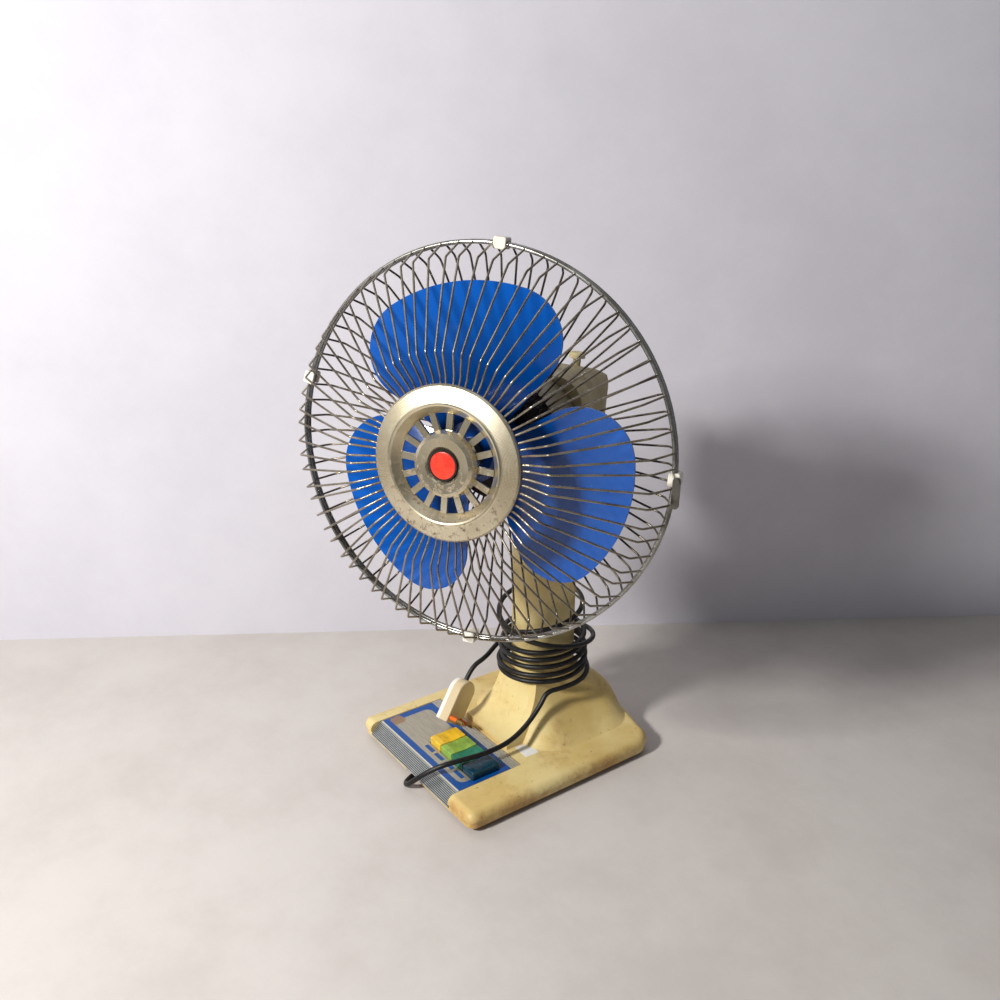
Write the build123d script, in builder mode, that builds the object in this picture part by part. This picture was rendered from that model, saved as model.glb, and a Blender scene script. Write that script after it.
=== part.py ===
from build123d import *
import math
import os

os.makedirs("parts", exist_ok=True)

# Desk fan on a wedge base. Millimetres and degrees, +Z up, front of the base towards -Y.

# ---- Where things stand ----------------------------------------------------------------
neck_x = -71.864           # neck's upright axis, from the middle of the whole fan's plan
neck_y = 84.838
yaw = 30.0                # head turned towards +X on its swing pivot
tilt = 5.5                # head tipped back on its tilt pin
tilt_height = 300.0       # tilt pin above the table
axis_rise = 77.0          # fan shaft above the tilt pin
reach = 182.0             # guard seam in front of the swing pivot

# ---- Fits ------------------------------------------------------------------------------
run_gap = 0.05            # radial gap of a turning shaft
seat_gap = 0.1            # gap of a piece that drops in
moving_gap = 0.4          # gap beside a piece that slides or swings
weld = 0.15               # depth to which welded wires sink into each other

# ---- Base ------------------------------------------------------------------------------
base_half = 110.0         # half width
base_front = -173.0       # lower front edge, from the neck
base_side_end = 50.0      # where the straight sides end
base_rear = 90.0          # middle of the bowed rear
base_corner = 10.0        # front corners in plan
base_shoulder = 26.0      # rear corners in plan
deck_top = 23.0           # flat top of the base
deck_edge = 8.5           # rounding of the top's edge
cover_wall = 2.6
skirt_bottom = 6.0
skirt_top = 13.5          # seam between tray and cover
skirt_inset = 1.5         # tray's wall inside the cover's
lip_top = 9.0             # lip below the ribbed front
lip_deep = 5.5
cord_notch = 22.0         # gap in the lip where the cord goes under
tray_floor = 8.6          # underside of the tray's floor
tray_wall = 2.2
foot_r = 8.0
foot_inset_x = 92.0
foot_front = -156.0
foot_rear = 52.0
foot_stem_r = 3.0
foot_taper = 6.0
foot_bead = 1.2
screw_inset_x = 90.0
screw_front = -60.0
screw_rear = 34.0
screw_r = 1.7
screw_head_r = 3.2
screw_head_high = 1.6
screw_long = 7.0          # in the cover's boss
boss_r = 4.5
ballast_wide = 104.0
ballast_deep = 56.0
ballast_high = 9.0
ballast_y = 32.0
hump_sections = (
    (21.0, 82.0, -58.0, 84.0, 40.0),
    (32.0, 62.0, -52.0, 82.0, 36.0),
    (57.0, 41.0, -44.0, 71.0, 28.0),
    (72.0, 32.0, -39.0, 52.0, 24.0),
    (88.0, 28.0, -36.0, 38.0, 21.0),
)

# ---- Control panel ---------------------------------------------------------------------
panel_left = -90.0
panel_right = 68.5
panel_fold = -160.0       # edge between panel and front face
panel_rear = -80.0
panel_wall = 2.4
label_rear = -92.0        # printed plate ends here, ribs follow
label_thick = 0.5
panel_drop = 0.8          # the panel lies this far below the deck
label_margin = 1.5
rib_count = 10            # ribs across the front face
rib_high = 0.7
rib_strip_count = 4       # ribs behind the printed plate
key_left = -22.0
key_pitch = 21.0
key_count = 4
key_front = -137.0
key_rear = -103.0
key_top = 30.5
key_travel = 4.0
key_skirt = 8.5           # height of a key's cap
key_dish = 60.0           # radius of the hollow in a key's top
key_hollow = 0.9          # its depth
stem_long = 1.8           # of a key's stem, inside the switch
stem_side = 8.0
switch_top = 17.5

# ---- Neck ------------------------------------------------------------------------------
neck_wide = 52.0
neck_deep = 68.0
neck_round = 20.0
neck_wall = 3.0
neck_bottom = 88.0        # also the top of the last hump section
neck_spigot = 6.0
neck_top = 280.0
ear_thick = 7.0
ear_gap = 26.0            # between the neck's two ears
pin_r = 4.0
tilt_knob_r = 11.0
tilt_knob_long = 14.0
foot_block_half = 39.0
foot_block_front = -77.0
foot_block_step = 30.0
ramp_taper = 6.5
ear_r = 12.0
bracket_deep = 22.0
bracket_low = -14.0       # below the tilt pin
bracket_top = 16.0        # above the tilt pin
swing_pin_r = 5.0
swing_pin_top = 55.0
link_stud_x = 22.9
link_stud_back = -7.3
link_stud_r = 2.5
arm_thick = 3.2

# ---- Guards ----------------------------------------------------------------------------
guard_r = 178.0           # outside of the rings
ring_wire_r = 2.0
ring_split = 2.2          # each ring's centre from the seam
wire_r = 0.95
wire_count = 72
wire_wander = 0.5         # how far the bent wires lie off their even places, degrees
knee_round = 4.0
ripple_round = 6.0
knee_r = 165.0
knee_d = 30.0
ripple_r = 92.0
ripple_d = 62.0
inner_flat_r = 73.0
inner_end_r = 56.0
centre_plate_d = 55.3     # back face of the plate behind the badge
centre_plate_thick = 1.1
centre_plate_in = 46.0
centre_plate_out = 64.0
rear_knee_round = 8.0
rear_knee_r = 166.0
rear_knee_d = -18.0
rear_flat_r = 56.0
rear_end_r = 48.0
rear_plate_d = -46.0      # front face of the rear plate
rear_plate_thick = 1.4
rear_plate_out = 58.0
clip_angles = (87.5, 167.5, 272.5)
latch_angle = 2.5
clip_deep = 12.0          # along the shaft
clip_wide = 11.6          # along the rim
clip_high = 10.0          # outward
latch_long = 20.0
latch_wide = 6.4
latch_thick = 2.0
latch_pin_r = 1.3

# ---- Badge on the front guard ----------------------------------------------------------
badge_r = 66.5
badge_sheet = 2.0
badge_bead_r = 50.0
badge_bead_d = 65.6
badge_throat_r = 42.5
spoke_count = 16
spoke_wide = 5.6
spoke_thick = 2.6
hub_cup_r = 28.5
hub_cup_front = 67.5
disc_r = 11.8
disc_front = 66.5
bezel_r = 12.9

# ---- Blades ----------------------------------------------------------------------------
blade_count = 3
blade_first = 103.0       # direction of the first blade
blade_r = 144.5
blade_span = 100.0        # angle that one blade covers
blade_pitch = 19.0        # forward travel for each radian round the axis
blade_mid = -1.0
blade_thick = 2.0
blade_round = 44.0
hub_r = 27.0
hub_back = -37.0
hub_front = 17.0
hub_wall = 3.0
nut_r = 14.0
nut_front = 27.0

# ---- Motor -----------------------------------------------------------------------------
shaft_r = 4.0
shaft_front = 22.0
shaft_back = -216.0
bush_r = 8.0
boss_front = -40.0
boss_back = -58.0
boss_out = 23.0
guard_nut_r = 33.0
guard_nut_thick = 5.0
motor_r = 48.0
motor_wall = 2.6
motor_front = -62.0
motor_back = -128.0
stator_front = -90.0
stator_back = -114.0
winding_long = 10.0
rotor_r = 27.7
rotor_gap = 0.6
frame_thick = 6.0
frame_r = 47.2
shell_half = 50.0
shell_round = 30.0
shell_front = -125.5
shell_back = -238.0
shell_curve = 45.0        # rounding of the back, seen from the side
shell_wall = 2.5
vent_count = 5
vent_pitch = 9.0
vent_wide = 3.0
vent_high = 26.0
slot_x = 2.5              # opening under the housing for the swing gear
slot_d = -196.0
slot_wide = 28.0
slot_deep = 50.0
shell_screw_x = 17.0
shell_screw_h = -13.0
shell_screw_r = 1.8
shell_screw_long = 14.0
shell_seat = -235.6       # under the screws' heads
shell_head_r = 3.4
shell_head_high = 1.8
post_gap = 4.6            # between a post and the screw's seat

# ---- Gearbox; heights from the shaft ----------------------------------------------------
gearbox_front = -181.5
gearbox_back = -227.0
gearbox_left = -15.0
gearbox_right = 31.0
gearbox_wall = 2.6
gear_floor = -17.0
gear_roof = 12.0
lid_thick = 2.0
arm_half = 16.0           # casting between the motor's flange and the gearbox
pivot_boss_r = 6.8
pivot_boss_bottom = -60.6
axle_boss_r = 6.0
axle_boss_bottom = -53.0
worm_r = 5.0
worm_core_r = 4.2
worm_front = -188.0
worm_back = -204.0
worm_pitch = 2.4
wheel_d = -196.0
wheel_r = 11.0
wheel_teeth = 30
wheel_thick = 5.0
pinion_r = 5.0
pinion_teeth = 12
crank_x = 7.0
crank_d = -211.2
crank_teeth = 30
tooth = 1.0
gear_bottom = -15.0
gear_thick = 6.0
gear_clear = 0.3          # between tooth tips that run past each other
axle_r = 3.0
crank_disc_r = 13.0
crank_disc_thick = 3.0
crank_throw = 10.0
crank_pin_r = 2.0
crank_pin_long = 1.1
link_length = 38.4
link_clear = 0.5          # between the crank's pin and the link below it
link_thick = 2.0
link_half = 3.0
link_eye_r = 4.8
knob_x = 8.0
knob_d = -216.0
knob_seat = 46.0          # where the knob's neck leaves the housing, pushed home
knob_r = 8.5
knob_thick = 6.0
knob_neck_r = 4.25
knob_stem_r = 2.5
knob_rise = 9.0           # neck showing while the knob is up

# ---- Plug ------------------------------------------------------------------------------
plug_half = 14.0
plug_long = 44.0          # above the pins
plug_heel = 6.0           # below the pins
plug_body_thick = 11.0
plug_cover_thick = 6.0
pin_pitch = 19.0
plug_pin_r = 2.0
plug_pin_long = 19.0
sleeve_long = 10.0
sleeve_thick = 0.35
plug_place = Vector(-24.0, -102.0, 38.0)    # between the pins, from the neck's foot
plug_ahead = Vector(0.975, 0.222, 0.0)      # the way the pins point
plug_across = Vector(0.17, -0.77, 0.61)

# ---- Cord ------------------------------------------------------------------------------
cord_d = 5.5
cord_anchor = Vector(-9.0, -150.0, 4.0)
loop_start = 216.0        # where the winding starts round the neck, degrees
loop_end = -14.0
loop_low = 82.0
loop_rise = 2.1           # height of a quarter turn in the stack
loop_r_top = 44.0
loop_r_low = 49.5
loop_wander = 1.2
loop_tilt = 2.5
stack_turns = 7
loop_first_way = (-0.40, 0.89, 0.20)
plug_lead = 16.0          # straight run of cord at the plug and at the winding
loose_turns = (
    (57.0, 97.0),
    (57.0, 112.0),
    (55.5, 127.0),
    (52.5, 141.0),
    (48.0, 158.0),
    (44.0, 172.0),
    (42.5, 163.0),
    (42.5, 148.0),
)
base_stretch = (
    (46.0, -38.0, 68.0),
    (47.5, -60.0, 49.0),
    (49.5, -86.0, 39.5),
    (48.5, -121.0, 39.0),
    (41.0, -152.0, 38.5),
    (30.0, -169.0, 30.0),
    (18.0, -181.0, 16.0),
    (8.0, -186.0, 5.5),
    (-1.5, -180.0, 2.9),
    (-8.0, -163.0, 3.0),
)
grommet_long = 22.0


# ---- Places ----------------------------------------------------------------------------
up = Vector(0, 0, 1).rotate(Axis.X, -tilt)
forward = Vector(0, -1, 0).rotate(Axis.Z, yaw).rotate(Axis.X, -tilt)
side = Vector(1, 0, 0).rotate(Axis.Z, yaw).rotate(Axis.X, -tilt)
tilt_point = Vector(neck_x, neck_y, tilt_height)
head_point = tilt_point + up * axis_rise
seam_point = head_point + forward * reach


def level(z, x=0.0, y=0.0):
    """Horizontal plane at height z, from the neck's axis."""
    return Plane(origin=(neck_x + x, neck_y + y, z))


def across(x):
    """Upright plane at x whose sketch runs back along Y and up along Z."""
    return Plane(origin=(neck_x + x, neck_y, 0), x_dir=(0, 1, 0), z_dir=(1, 0, 0))


def tipped(h, x=0.0, back=0.0):
    """Plane of the tilting bracket, h above the tilt pin along the swing axis."""
    backward = up.cross(Vector(1, 0, 0))
    return Plane(origin=tilt_point + up * h + Vector(x, 0, 0) + backward * back, x_dir=(1, 0, 0), z_dir=up)


def fan(d, x=0.0, h=0.0):
    """Plane across the fan's shaft, d in front of the guard's seam."""
    return Plane(origin=seam_point + forward * d + side * x + up * h, x_dir=side, z_dir=forward)


def shelf(h, x=0.0, d=0.0):
    """Plane along the fan's shaft, h above it; its sketch runs sideways and backwards."""
    return Plane(origin=seam_point + forward * d + side * x + up * h, x_dir=side, z_dir=up)


half_plane = Plane(origin=seam_point, x_dir=side, z_dir=side.cross(forward))
fan_axis = Axis(seam_point, forward)


def save(piece, name):
    piece.part.label = name
    export_step(piece.part, f"parts/{name}.step")


def ring_places(angles, radius=0.0):
    """Places round the shaft in the guard's seam, each facing outward at its own angle."""
    seam = fan(0).location
    return [
        seam * Location((radius * math.cos(math.radians(a)), radius * math.sin(math.radians(a)), 0), (0, 0, a))
        for a in angles
    ]


# ---- Base ------------------------------------------------------------------------------
screw_places = [(x, y) for x in (-screw_inset_x, screw_inset_x) for y in (screw_front, screw_rear)]
foot_places = [(x, y) for x in (-foot_inset_x, foot_inset_x) for y in (foot_front, foot_rear)]
panel_mid = (panel_left + panel_right) / 2
panel_top = deck_top - panel_drop
tray_inside = tray_floor + tray_wall


def base_outline(inset):
    """Plan of the base: straight front and sides, round rear corners and a bowed rear."""
    half = base_half - inset
    front = base_front + inset
    shoulder_x = half - base_shoulder
    shoulder_y = base_side_end + base_shoulder
    with BuildSketch() as plan:
        with BuildLine():
            Line((-half, front), (half, front))
            Line((half, front), (half, base_side_end))
            RadiusArc((half, base_side_end), (shoulder_x, shoulder_y), -base_shoulder)
            ThreePointArc((shoulder_x, shoulder_y), (0, base_rear - inset), (-shoulder_x, shoulder_y))
            RadiusArc((-shoulder_x, shoulder_y), (-half, base_side_end), -base_shoulder)
            Line((-half, base_side_end), (-half, front))
        make_face()
        fillet(plan.vertices().group_by(Axis.Y)[0], base_corner - inset / 2)
    return plan.sketch


def slab_form(inset):
    """Flat part of the cover with its rounded top edge."""
    with BuildPart() as slab:
        with BuildSketch(level(skirt_top)):
            add(base_outline(inset))
        extrude(amount=deck_top - skirt_top - inset)
        fillet(slab.faces().sort_by(Axis.Z)[-1].edges(), deck_edge - inset)
    return slab.part


def hump_form(inset):
    """Pedestal that rises from the deck to the neck."""
    with BuildPart() as hump:
        for z, half, front, rear, corner in hump_sections:
            with BuildSketch(level(z - inset, 0, (front + rear) / 2)):
                RectangleRounded(2 * (half - inset), rear - front - 2 * inset, corner - inset)
        loft()
    return hump.part


def ramp_form(inset):
    """Ramped block in front of the pedestal."""
    front = foot_block_front + inset
    low = deck_top - 4 - inset
    crown = neck_bottom + 1
    with BuildPart() as block:
        with BuildSketch(level(low)):
            Rectangle(2 * (foot_block_half - inset), -4 * front)
        extrude(amount=neck_bottom - inset - low, taper=ramp_taper)
        with BuildSketch(across(-foot_block_half)):
            with BuildLine():
                Polyline((4 * front, crown), (4 * front, low), (front, low), (front, foot_block_step - inset))
                Spline(
                    (front, foot_block_step - inset),
                    (front + 21, foot_block_step + 8 - inset),
                    (front + 38, foot_block_step + 31 - inset),
                    (front + 44, crown),
                )
                Line((front + 44, crown), (4 * front, crown))
            make_face()
            with Locations((-2.5 * front, crown)):
                Rectangle(-5 * front, 4 * crown)
        extrude(amount=2 * foot_block_half, mode=Mode.SUBTRACT)
    return block.part


def cover_form(inset):
    """Outer form of the cover, or its inside when inset by the wall."""
    with BuildPart() as form:
        add(slab_form(inset))
        add(hump_form(inset))
        add(ramp_form(inset))
    return form.part


with BuildPart() as cover_inside:
    add(cover_form(cover_wall))
    with BuildSketch(level(skirt_top)):
        add(base_outline(cover_wall))
    extrude(amount=1)
    for x in (panel_left - cover_wall / 2, panel_right + cover_wall / 2):
        with BuildSketch(level(skirt_top, x, (panel_rear + base_front) / 2)):
            Rectangle(cover_wall, panel_rear - base_front)
        extrude(amount=deck_top - skirt_top, mode=Mode.SUBTRACT)
    with BuildSketch(level(skirt_top)):
        with Locations(*screw_places):
            Circle(boss_r)
    extrude(amount=deck_top - skirt_top, mode=Mode.SUBTRACT)

with BuildPart() as base_cover:
    add(cover_form(0.0))
    add(cover_inside.part, mode=Mode.SUBTRACT)
    with BuildSketch(level(tray_inside)):
        with Locations(*screw_places):
            Circle(boss_r)
    extrude(amount=skirt_top - tray_inside)
    with BuildSketch(level(neck_bottom - 2 * neck_spigot)):
        RectangleRounded(neck_wide - 2 * neck_wall, neck_deep - 2 * neck_wall, neck_round - neck_wall)
    extrude(amount=4 * neck_spigot, mode=Mode.SUBTRACT)
    with BuildSketch(level(skirt_top - 1, panel_mid, (panel_rear + base_front) / 2 - 5)):
        Rectangle(panel_right - panel_left, panel_rear - base_front + 10)
    extrude(amount=deck_top, mode=Mode.SUBTRACT)
    with BuildSketch(level(tray_inside)):
        with Locations(*screw_places):
            Circle(screw_r)
    extrude(amount=screw_long, mode=Mode.SUBTRACT)
save(base_cover, "base_cover")

with BuildPart() as base_tray:
    with BuildSketch(level(skirt_bottom)):
        add(base_outline(skirt_inset))
    extrude(amount=skirt_top - skirt_bottom)
    with BuildSketch(level(tray_inside)):
        add(base_outline(skirt_inset + tray_wall))
    extrude(amount=skirt_top, mode=Mode.SUBTRACT)
    with BuildSketch(level(0)):
        add(base_outline(skirt_inset + tray_wall))
    extrude(amount=tray_floor, mode=Mode.SUBTRACT)
    with BuildSketch(level(lip_top, panel_mid, base_front)):
        Rectangle(panel_right - panel_left + 2 * seat_gap, 2 * lip_deep)
    extrude(amount=skirt_top, mode=Mode.SUBTRACT)
    with BuildSketch(level(0, cord_anchor.X + cord_notch / 4, base_front)):
        Rectangle(cord_notch, 4 * (skirt_inset + tray_wall))
    extrude(amount=tray_floor, mode=Mode.SUBTRACT)
    with BuildSketch(level(0)):
        with Locations(*screw_places):
            Circle(screw_r + seat_gap)
        with Locations(*foot_places):
            Circle(foot_stem_r)
    extrude(amount=skirt_top, mode=Mode.SUBTRACT)
save(base_tray, "base_tray")

with BuildPart() as rubber_feet:
    with BuildSketch(level(tray_floor)):
        with Locations(*foot_places):
            Circle(foot_r)
    extrude(amount=-tray_floor, taper=foot_taper)
    with BuildSketch(level(tray_floor)):
        with Locations(*foot_places):
            Circle(foot_stem_r)
    extrude(amount=tray_wall)
    with BuildSketch(level(tray_inside)):
        with Locations(*foot_places):
            Circle(foot_stem_r + foot_bead)
    extrude(amount=foot_bead)
save(rubber_feet, "rubber_feet")

with BuildPart() as bottom_screws:
    with BuildSketch(level(tray_floor - screw_head_high)):
        with Locations(*screw_places):
            Circle(screw_head_r)
    extrude(amount=screw_head_high)
    with BuildSketch(level(tray_floor)):
        with Locations(*screw_places):
            Circle(screw_r)
    extrude(amount=tray_wall + screw_long - 1)
save(bottom_screws, "bottom_screws")

with BuildPart() as ballast_weight:
    with BuildSketch(level(tray_inside, 0, ballast_y)):
        RectangleRounded(ballast_wide, ballast_deep, 6)
    extrude(amount=ballast_high)
save(ballast_weight, "ballast_weight")

with BuildPart() as capacitor:
    with BuildSketch(level(tray_inside, -18, -30)):
        RectangleRounded(38, 20, 3)
    extrude(amount=16)
save(capacitor, "capacitor")

with BuildPart() as terminal_block:
    with BuildSketch(level(tray_inside, 24, -30)):
        Rectangle(30, 14)
    extrude(amount=10)
    with BuildSketch(level(tray_inside + 10, 24, -30)):
        with GridLocations(10, 7, 3, 2):
            Circle(1.8)
    extrude(amount=-3, mode=Mode.SUBTRACT)
save(terminal_block, "terminal_block")


# ---- Control panel ---------------------------------------------------------------------
def ribbed(start, end, count, height):
    """Points of a fine sawtooth between two points, rising to the left of the way."""
    run = (Vector(*end) - Vector(*start)) / count
    rise = Vector(-run.Y, run.X).normalized() * height
    points = []
    for i in range(count):
        base = Vector(*start) + run * i
        points += [base + run * 0.2, base + run * 0.35 + rise, base + run * 0.85 + rise, base + run]
    return [(p.X, p.Y) for p in points]


key_mid_y = (key_front + key_rear) / 2
key_mid_x = key_left + key_pitch * key_count / 2
key_deep = key_rear - key_front
key_wide = key_pitch - 2 * moving_gap
lip_front = (base_front + 0.5, lip_top)
fold = (panel_fold, panel_top)

with BuildPart() as fascia:
    with BuildSketch(across(panel_left + seat_gap)):
        with BuildLine():
            rear_edge = panel_rear - seat_gap
            strip = ribbed((rear_edge, panel_top), (label_rear, panel_top), rib_strip_count, -rib_high)
            front_ribs = ribbed(fold, lip_front, rib_count, -rib_high)
            inner_fold = (panel_fold + panel_wall * 0.45, panel_top - panel_wall)
            Polyline(
                (rear_edge, panel_top),
                *strip,
                fold,
                *front_ribs,
                (lip_front[0] + panel_wall, lip_top),
                inner_fold,
                (rear_edge, panel_top - panel_wall),
                close=True,
            )
        make_face()
    extrude(amount=panel_right - panel_left - 2 * seat_gap)
    with BuildSketch(level(0, key_mid_x, key_mid_y)):
        Rectangle(key_pitch * key_count + 2 * moving_gap, key_deep + 2 * moving_gap)
    extrude(amount=deck_top, mode=Mode.SUBTRACT)
save(fascia, "fascia")

with BuildPart() as panel_label:
    with BuildSketch(level(panel_top, panel_mid, (panel_fold + label_rear) / 2)):
        Rectangle(panel_right - panel_left - 2 * label_margin, label_rear - panel_fold - label_margin)
    extrude(amount=label_thick)
    with BuildSketch(level(panel_top, key_mid_x, key_mid_y)):
        Rectangle(key_pitch * key_count + 2 * moving_gap, key_deep + 2 * moving_gap)
    extrude(amount=label_thick, mode=Mode.SUBTRACT)
save(panel_label, "panel_label")

with BuildPart() as switch_body:
    with BuildSketch(level(tray_inside, key_mid_x, key_mid_y)):
        Rectangle(key_pitch * key_count, key_deep)
    extrude(amount=switch_top - tray_inside)
    with BuildSketch(level(switch_top, key_mid_x, key_mid_y)):
        with GridLocations(key_pitch, 1, key_count, 1):
            Rectangle(stem_side + 2 * moving_gap, stem_side + 2 * moving_gap)
    extrude(amount=-stem_long - key_travel, mode=Mode.SUBTRACT)
save(switch_body, "switch_body")

for i, key_name in enumerate(("key_off", "key_low", "key_mid", "key_high")):
    key_x = key_left + key_pitch * (i + 0.5)
    with BuildPart() as key:
        with BuildSketch(level(key_top - key_skirt, key_x, key_mid_y)):
            RectangleRounded(key_wide, key_deep, 2)
        extrude(amount=key_skirt)
        fillet(key.faces().sort_by(Axis.Z)[-1].edges(), 1.2)
        with BuildSketch(across(key_x - key_pitch)):
            with Locations((key_mid_y, key_top + key_dish - key_hollow)):
                Circle(key_dish)
        extrude(amount=2 * key_pitch, mode=Mode.SUBTRACT)
        with BuildSketch(level(key_top - key_skirt, key_x, key_mid_y)):
            Rectangle(stem_side, stem_side)
        extrude(amount=switch_top - stem_long - key_top + key_skirt)
    save(key, key_name)

# ---- Neck ------------------------------------------------------------------------------
spigot_wide = neck_wide - 2 * neck_wall - 2 * seat_gap
spigot_deep = neck_deep - 2 * neck_wall - 2 * seat_gap
spigot_round = neck_round - neck_wall - seat_gap

with BuildPart() as neck_column:
    with BuildSketch(level(neck_bottom)):
        RectangleRounded(neck_wide, neck_deep, neck_round)
    extrude(amount=neck_top - neck_bottom)
    fillet(neck_column.faces().sort_by(Axis.Z)[-1].edges(), 3)
    with BuildSketch(level(neck_bottom + neck_wall)):
        RectangleRounded(neck_wide - 2 * neck_wall, neck_deep - 2 * neck_wall, neck_round - neck_wall)
    extrude(amount=neck_top - neck_bottom - 3 * neck_wall, mode=Mode.SUBTRACT)
    with BuildSketch(level(neck_bottom - neck_spigot)):
        RectangleRounded(spigot_wide, spigot_deep, spigot_round)
    extrude(amount=neck_spigot)
    with BuildSketch(level(neck_bottom - neck_spigot)):
        RectangleRounded(spigot_wide - neck_wall, spigot_deep - neck_wall, spigot_round - neck_wall / 2)
    extrude(amount=neck_spigot + neck_wall, mode=Mode.SUBTRACT)
    for ear_x in (-ear_gap / 2 - ear_thick, ear_gap / 2):
        with BuildSketch(across(ear_x)):
            with Locations((0, tilt_height)):
                Circle(ear_r)
            with Locations((0, (neck_top + tilt_height) / 2 - 1)):
                Rectangle(2 * ear_r, tilt_height - neck_top + 2)
        extrude(amount=ear_thick)
    with BuildSketch(across(-neck_wide / 2)):
        with Locations((0, tilt_height)):
            Circle(pin_r)
    extrude(amount=neck_wide, mode=Mode.SUBTRACT)
save(neck_column, "neck_column")

arm_turn = math.degrees(math.atan2(link_stud_back, link_stud_x))
arm_long = math.hypot(link_stud_x, link_stud_back)

with BuildPart() as tilt_bracket:
    with BuildSketch(tipped(bracket_low)):
        Rectangle(ear_gap - 2 * moving_gap, bracket_deep)
    extrude(amount=bracket_top - bracket_low)
    fillet(tilt_bracket.edges().filter_by(Axis.X), 4)
    with BuildSketch(tipped(bracket_top - arm_thick)):
        with Locations(Location((link_stud_x / 2, link_stud_back / 2, 0), (0, 0, arm_turn))):
            SlotCenterToCenter(arm_long, 2 * link_eye_r)
    extrude(amount=arm_thick)
    with BuildSketch(across(-ear_gap)):
        with Locations((0, tilt_height)):
            Circle(pin_r + run_gap)
    extrude(amount=2 * ear_gap, mode=Mode.SUBTRACT)
save(tilt_bracket, "tilt_bracket")

stud_top = axis_rise + axle_boss_bottom - 2 * moving_gap - crank_disc_thick - crank_pin_long
link_top = stud_top - link_clear

with BuildPart() as bracket_pins:
    with BuildSketch(tipped(bracket_top)):
        Circle(swing_pin_r)
    extrude(amount=swing_pin_top - bracket_top)
    chamfer(bracket_pins.faces().sort_by(Axis(tilt_point, up))[-1].edges(), 0.8)
    with BuildSketch(tipped(bracket_top, link_stud_x, link_stud_back)):
        Circle(link_stud_r)
    extrude(amount=link_top + 1 - bracket_top)
    with BuildSketch(tipped(link_top + 0.2, link_stud_x, link_stud_back)):
        Circle(link_stud_r + 1.2)
    extrude(amount=1.2)
save(bracket_pins, "bracket_pins")

with BuildPart() as tilt_pin:
    with BuildSketch(across(-neck_wide / 2)):
        with Locations((0, tilt_height)):
            Circle(pin_r + 2.5)
    extrude(amount=neck_wide / 2 - ear_gap / 2 - ear_thick)
    with BuildSketch(across(-ear_gap / 2 - ear_thick)):
        with Locations((0, tilt_height)):
            Circle(pin_r)
    extrude(amount=ear_gap + 2 * ear_thick + tilt_knob_long / 2)
save(tilt_pin, "tilt_pin")

with BuildPart() as tilt_knob:
    with BuildSketch(across(ear_gap / 2 + ear_thick)):
        with Locations((0, tilt_height)):
            Circle(tilt_knob_r)
    extrude(amount=tilt_knob_long)
    fillet(tilt_knob.faces().sort_by(Axis.X)[-1].edges(), 3)
    with BuildSketch(across(ear_gap / 2 + ear_thick)):
        with Locations((0, tilt_height)):
            with PolarLocations(tilt_knob_r + 0.6, 14):
                Circle(1.6)
    extrude(amount=tilt_knob_long, mode=Mode.SUBTRACT)
    with BuildSketch(across(ear_gap / 2 + ear_thick)):
        with Locations((0, tilt_height)):
            Circle(pin_r)
    extrude(amount=tilt_knob_long / 2, mode=Mode.SUBTRACT)
save(tilt_knob, "tilt_knob")

# ---- Guards ----------------------------------------------------------------------------
even_angles = [i * 360 / wire_count for i in range(wire_count)]
bent_angles = [a + wire_wander * math.sin(2.4 * i) for i, a in enumerate(even_angles)]
wire_lift = wire_r - weld
flat_d = centre_plate_d + centre_plate_thick + wire_lift
rear_flat_d = rear_plate_d + wire_lift
ring_r = guard_r - ring_wire_r
wire_end_d = ring_split + ring_wire_r - wire_lift

with BuildPart() as front_wire:
    with BuildLine() as front_path:
        FilletPolyline(
            (inner_end_r, 0, flat_d),
            (inner_flat_r, 0, flat_d),
            (ripple_r, 0, ripple_d),
            (knee_r, 0, knee_d),
            (ring_r, 0, wire_end_d),
            radius=[ripple_round, ripple_round, knee_round],
        )
    with BuildSketch(Plane(origin=front_path.line @ 0, z_dir=front_path.line % 0)):
        Circle(wire_r)
    sweep()

with BuildPart() as front_guard_wires:
    for place in ring_places(bent_angles):
        add(front_wire.part.moved(place))
save(front_guard_wires, "front_guard_wires")

with BuildPart() as rear_wire:
    with BuildLine() as rear_path:
        FilletPolyline(
            (rear_end_r, 0, rear_flat_d),
            (rear_flat_r, 0, rear_flat_d),
            (rear_knee_r, 0, rear_knee_d),
            (ring_r, 0, -wire_end_d),
            radius=[ripple_round, rear_knee_round],
        )
    with BuildSketch(Plane(origin=rear_path.line @ 0, z_dir=rear_path.line % 0)):
        Circle(wire_r)
    sweep()

with BuildPart() as rear_guard_wires:
    for place in ring_places(even_angles):
        add(rear_wire.part.moved(place))
save(rear_guard_wires, "rear_guard_wires")

for ring_d, ring_name in ((ring_split, "front_ring"), (-ring_split, "rear_ring")):
    with BuildPart() as guard_ring:
        with BuildSketch(half_plane):
            with Locations((ring_r, ring_d)):
                Circle(ring_wire_r)
        revolve(axis=fan_axis)
    save(guard_ring, ring_name)

with BuildPart() as centre_plate:
    with BuildSketch(fan(centre_plate_d)):
        Circle(centre_plate_out)
        Circle(centre_plate_in, mode=Mode.SUBTRACT)
    extrude(amount=centre_plate_thick)
save(centre_plate, "centre_plate")

with BuildPart() as rear_plate:
    with BuildSketch(fan(rear_plate_d)):
        Circle(rear_plate_out)
        Circle(boss_out + seat_gap, mode=Mode.SUBTRACT)
    extrude(amount=-rear_plate_thick)
save(rear_plate, "rear_plate")

clip_cheek = ring_split + ring_wire_r + seat_gap

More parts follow.
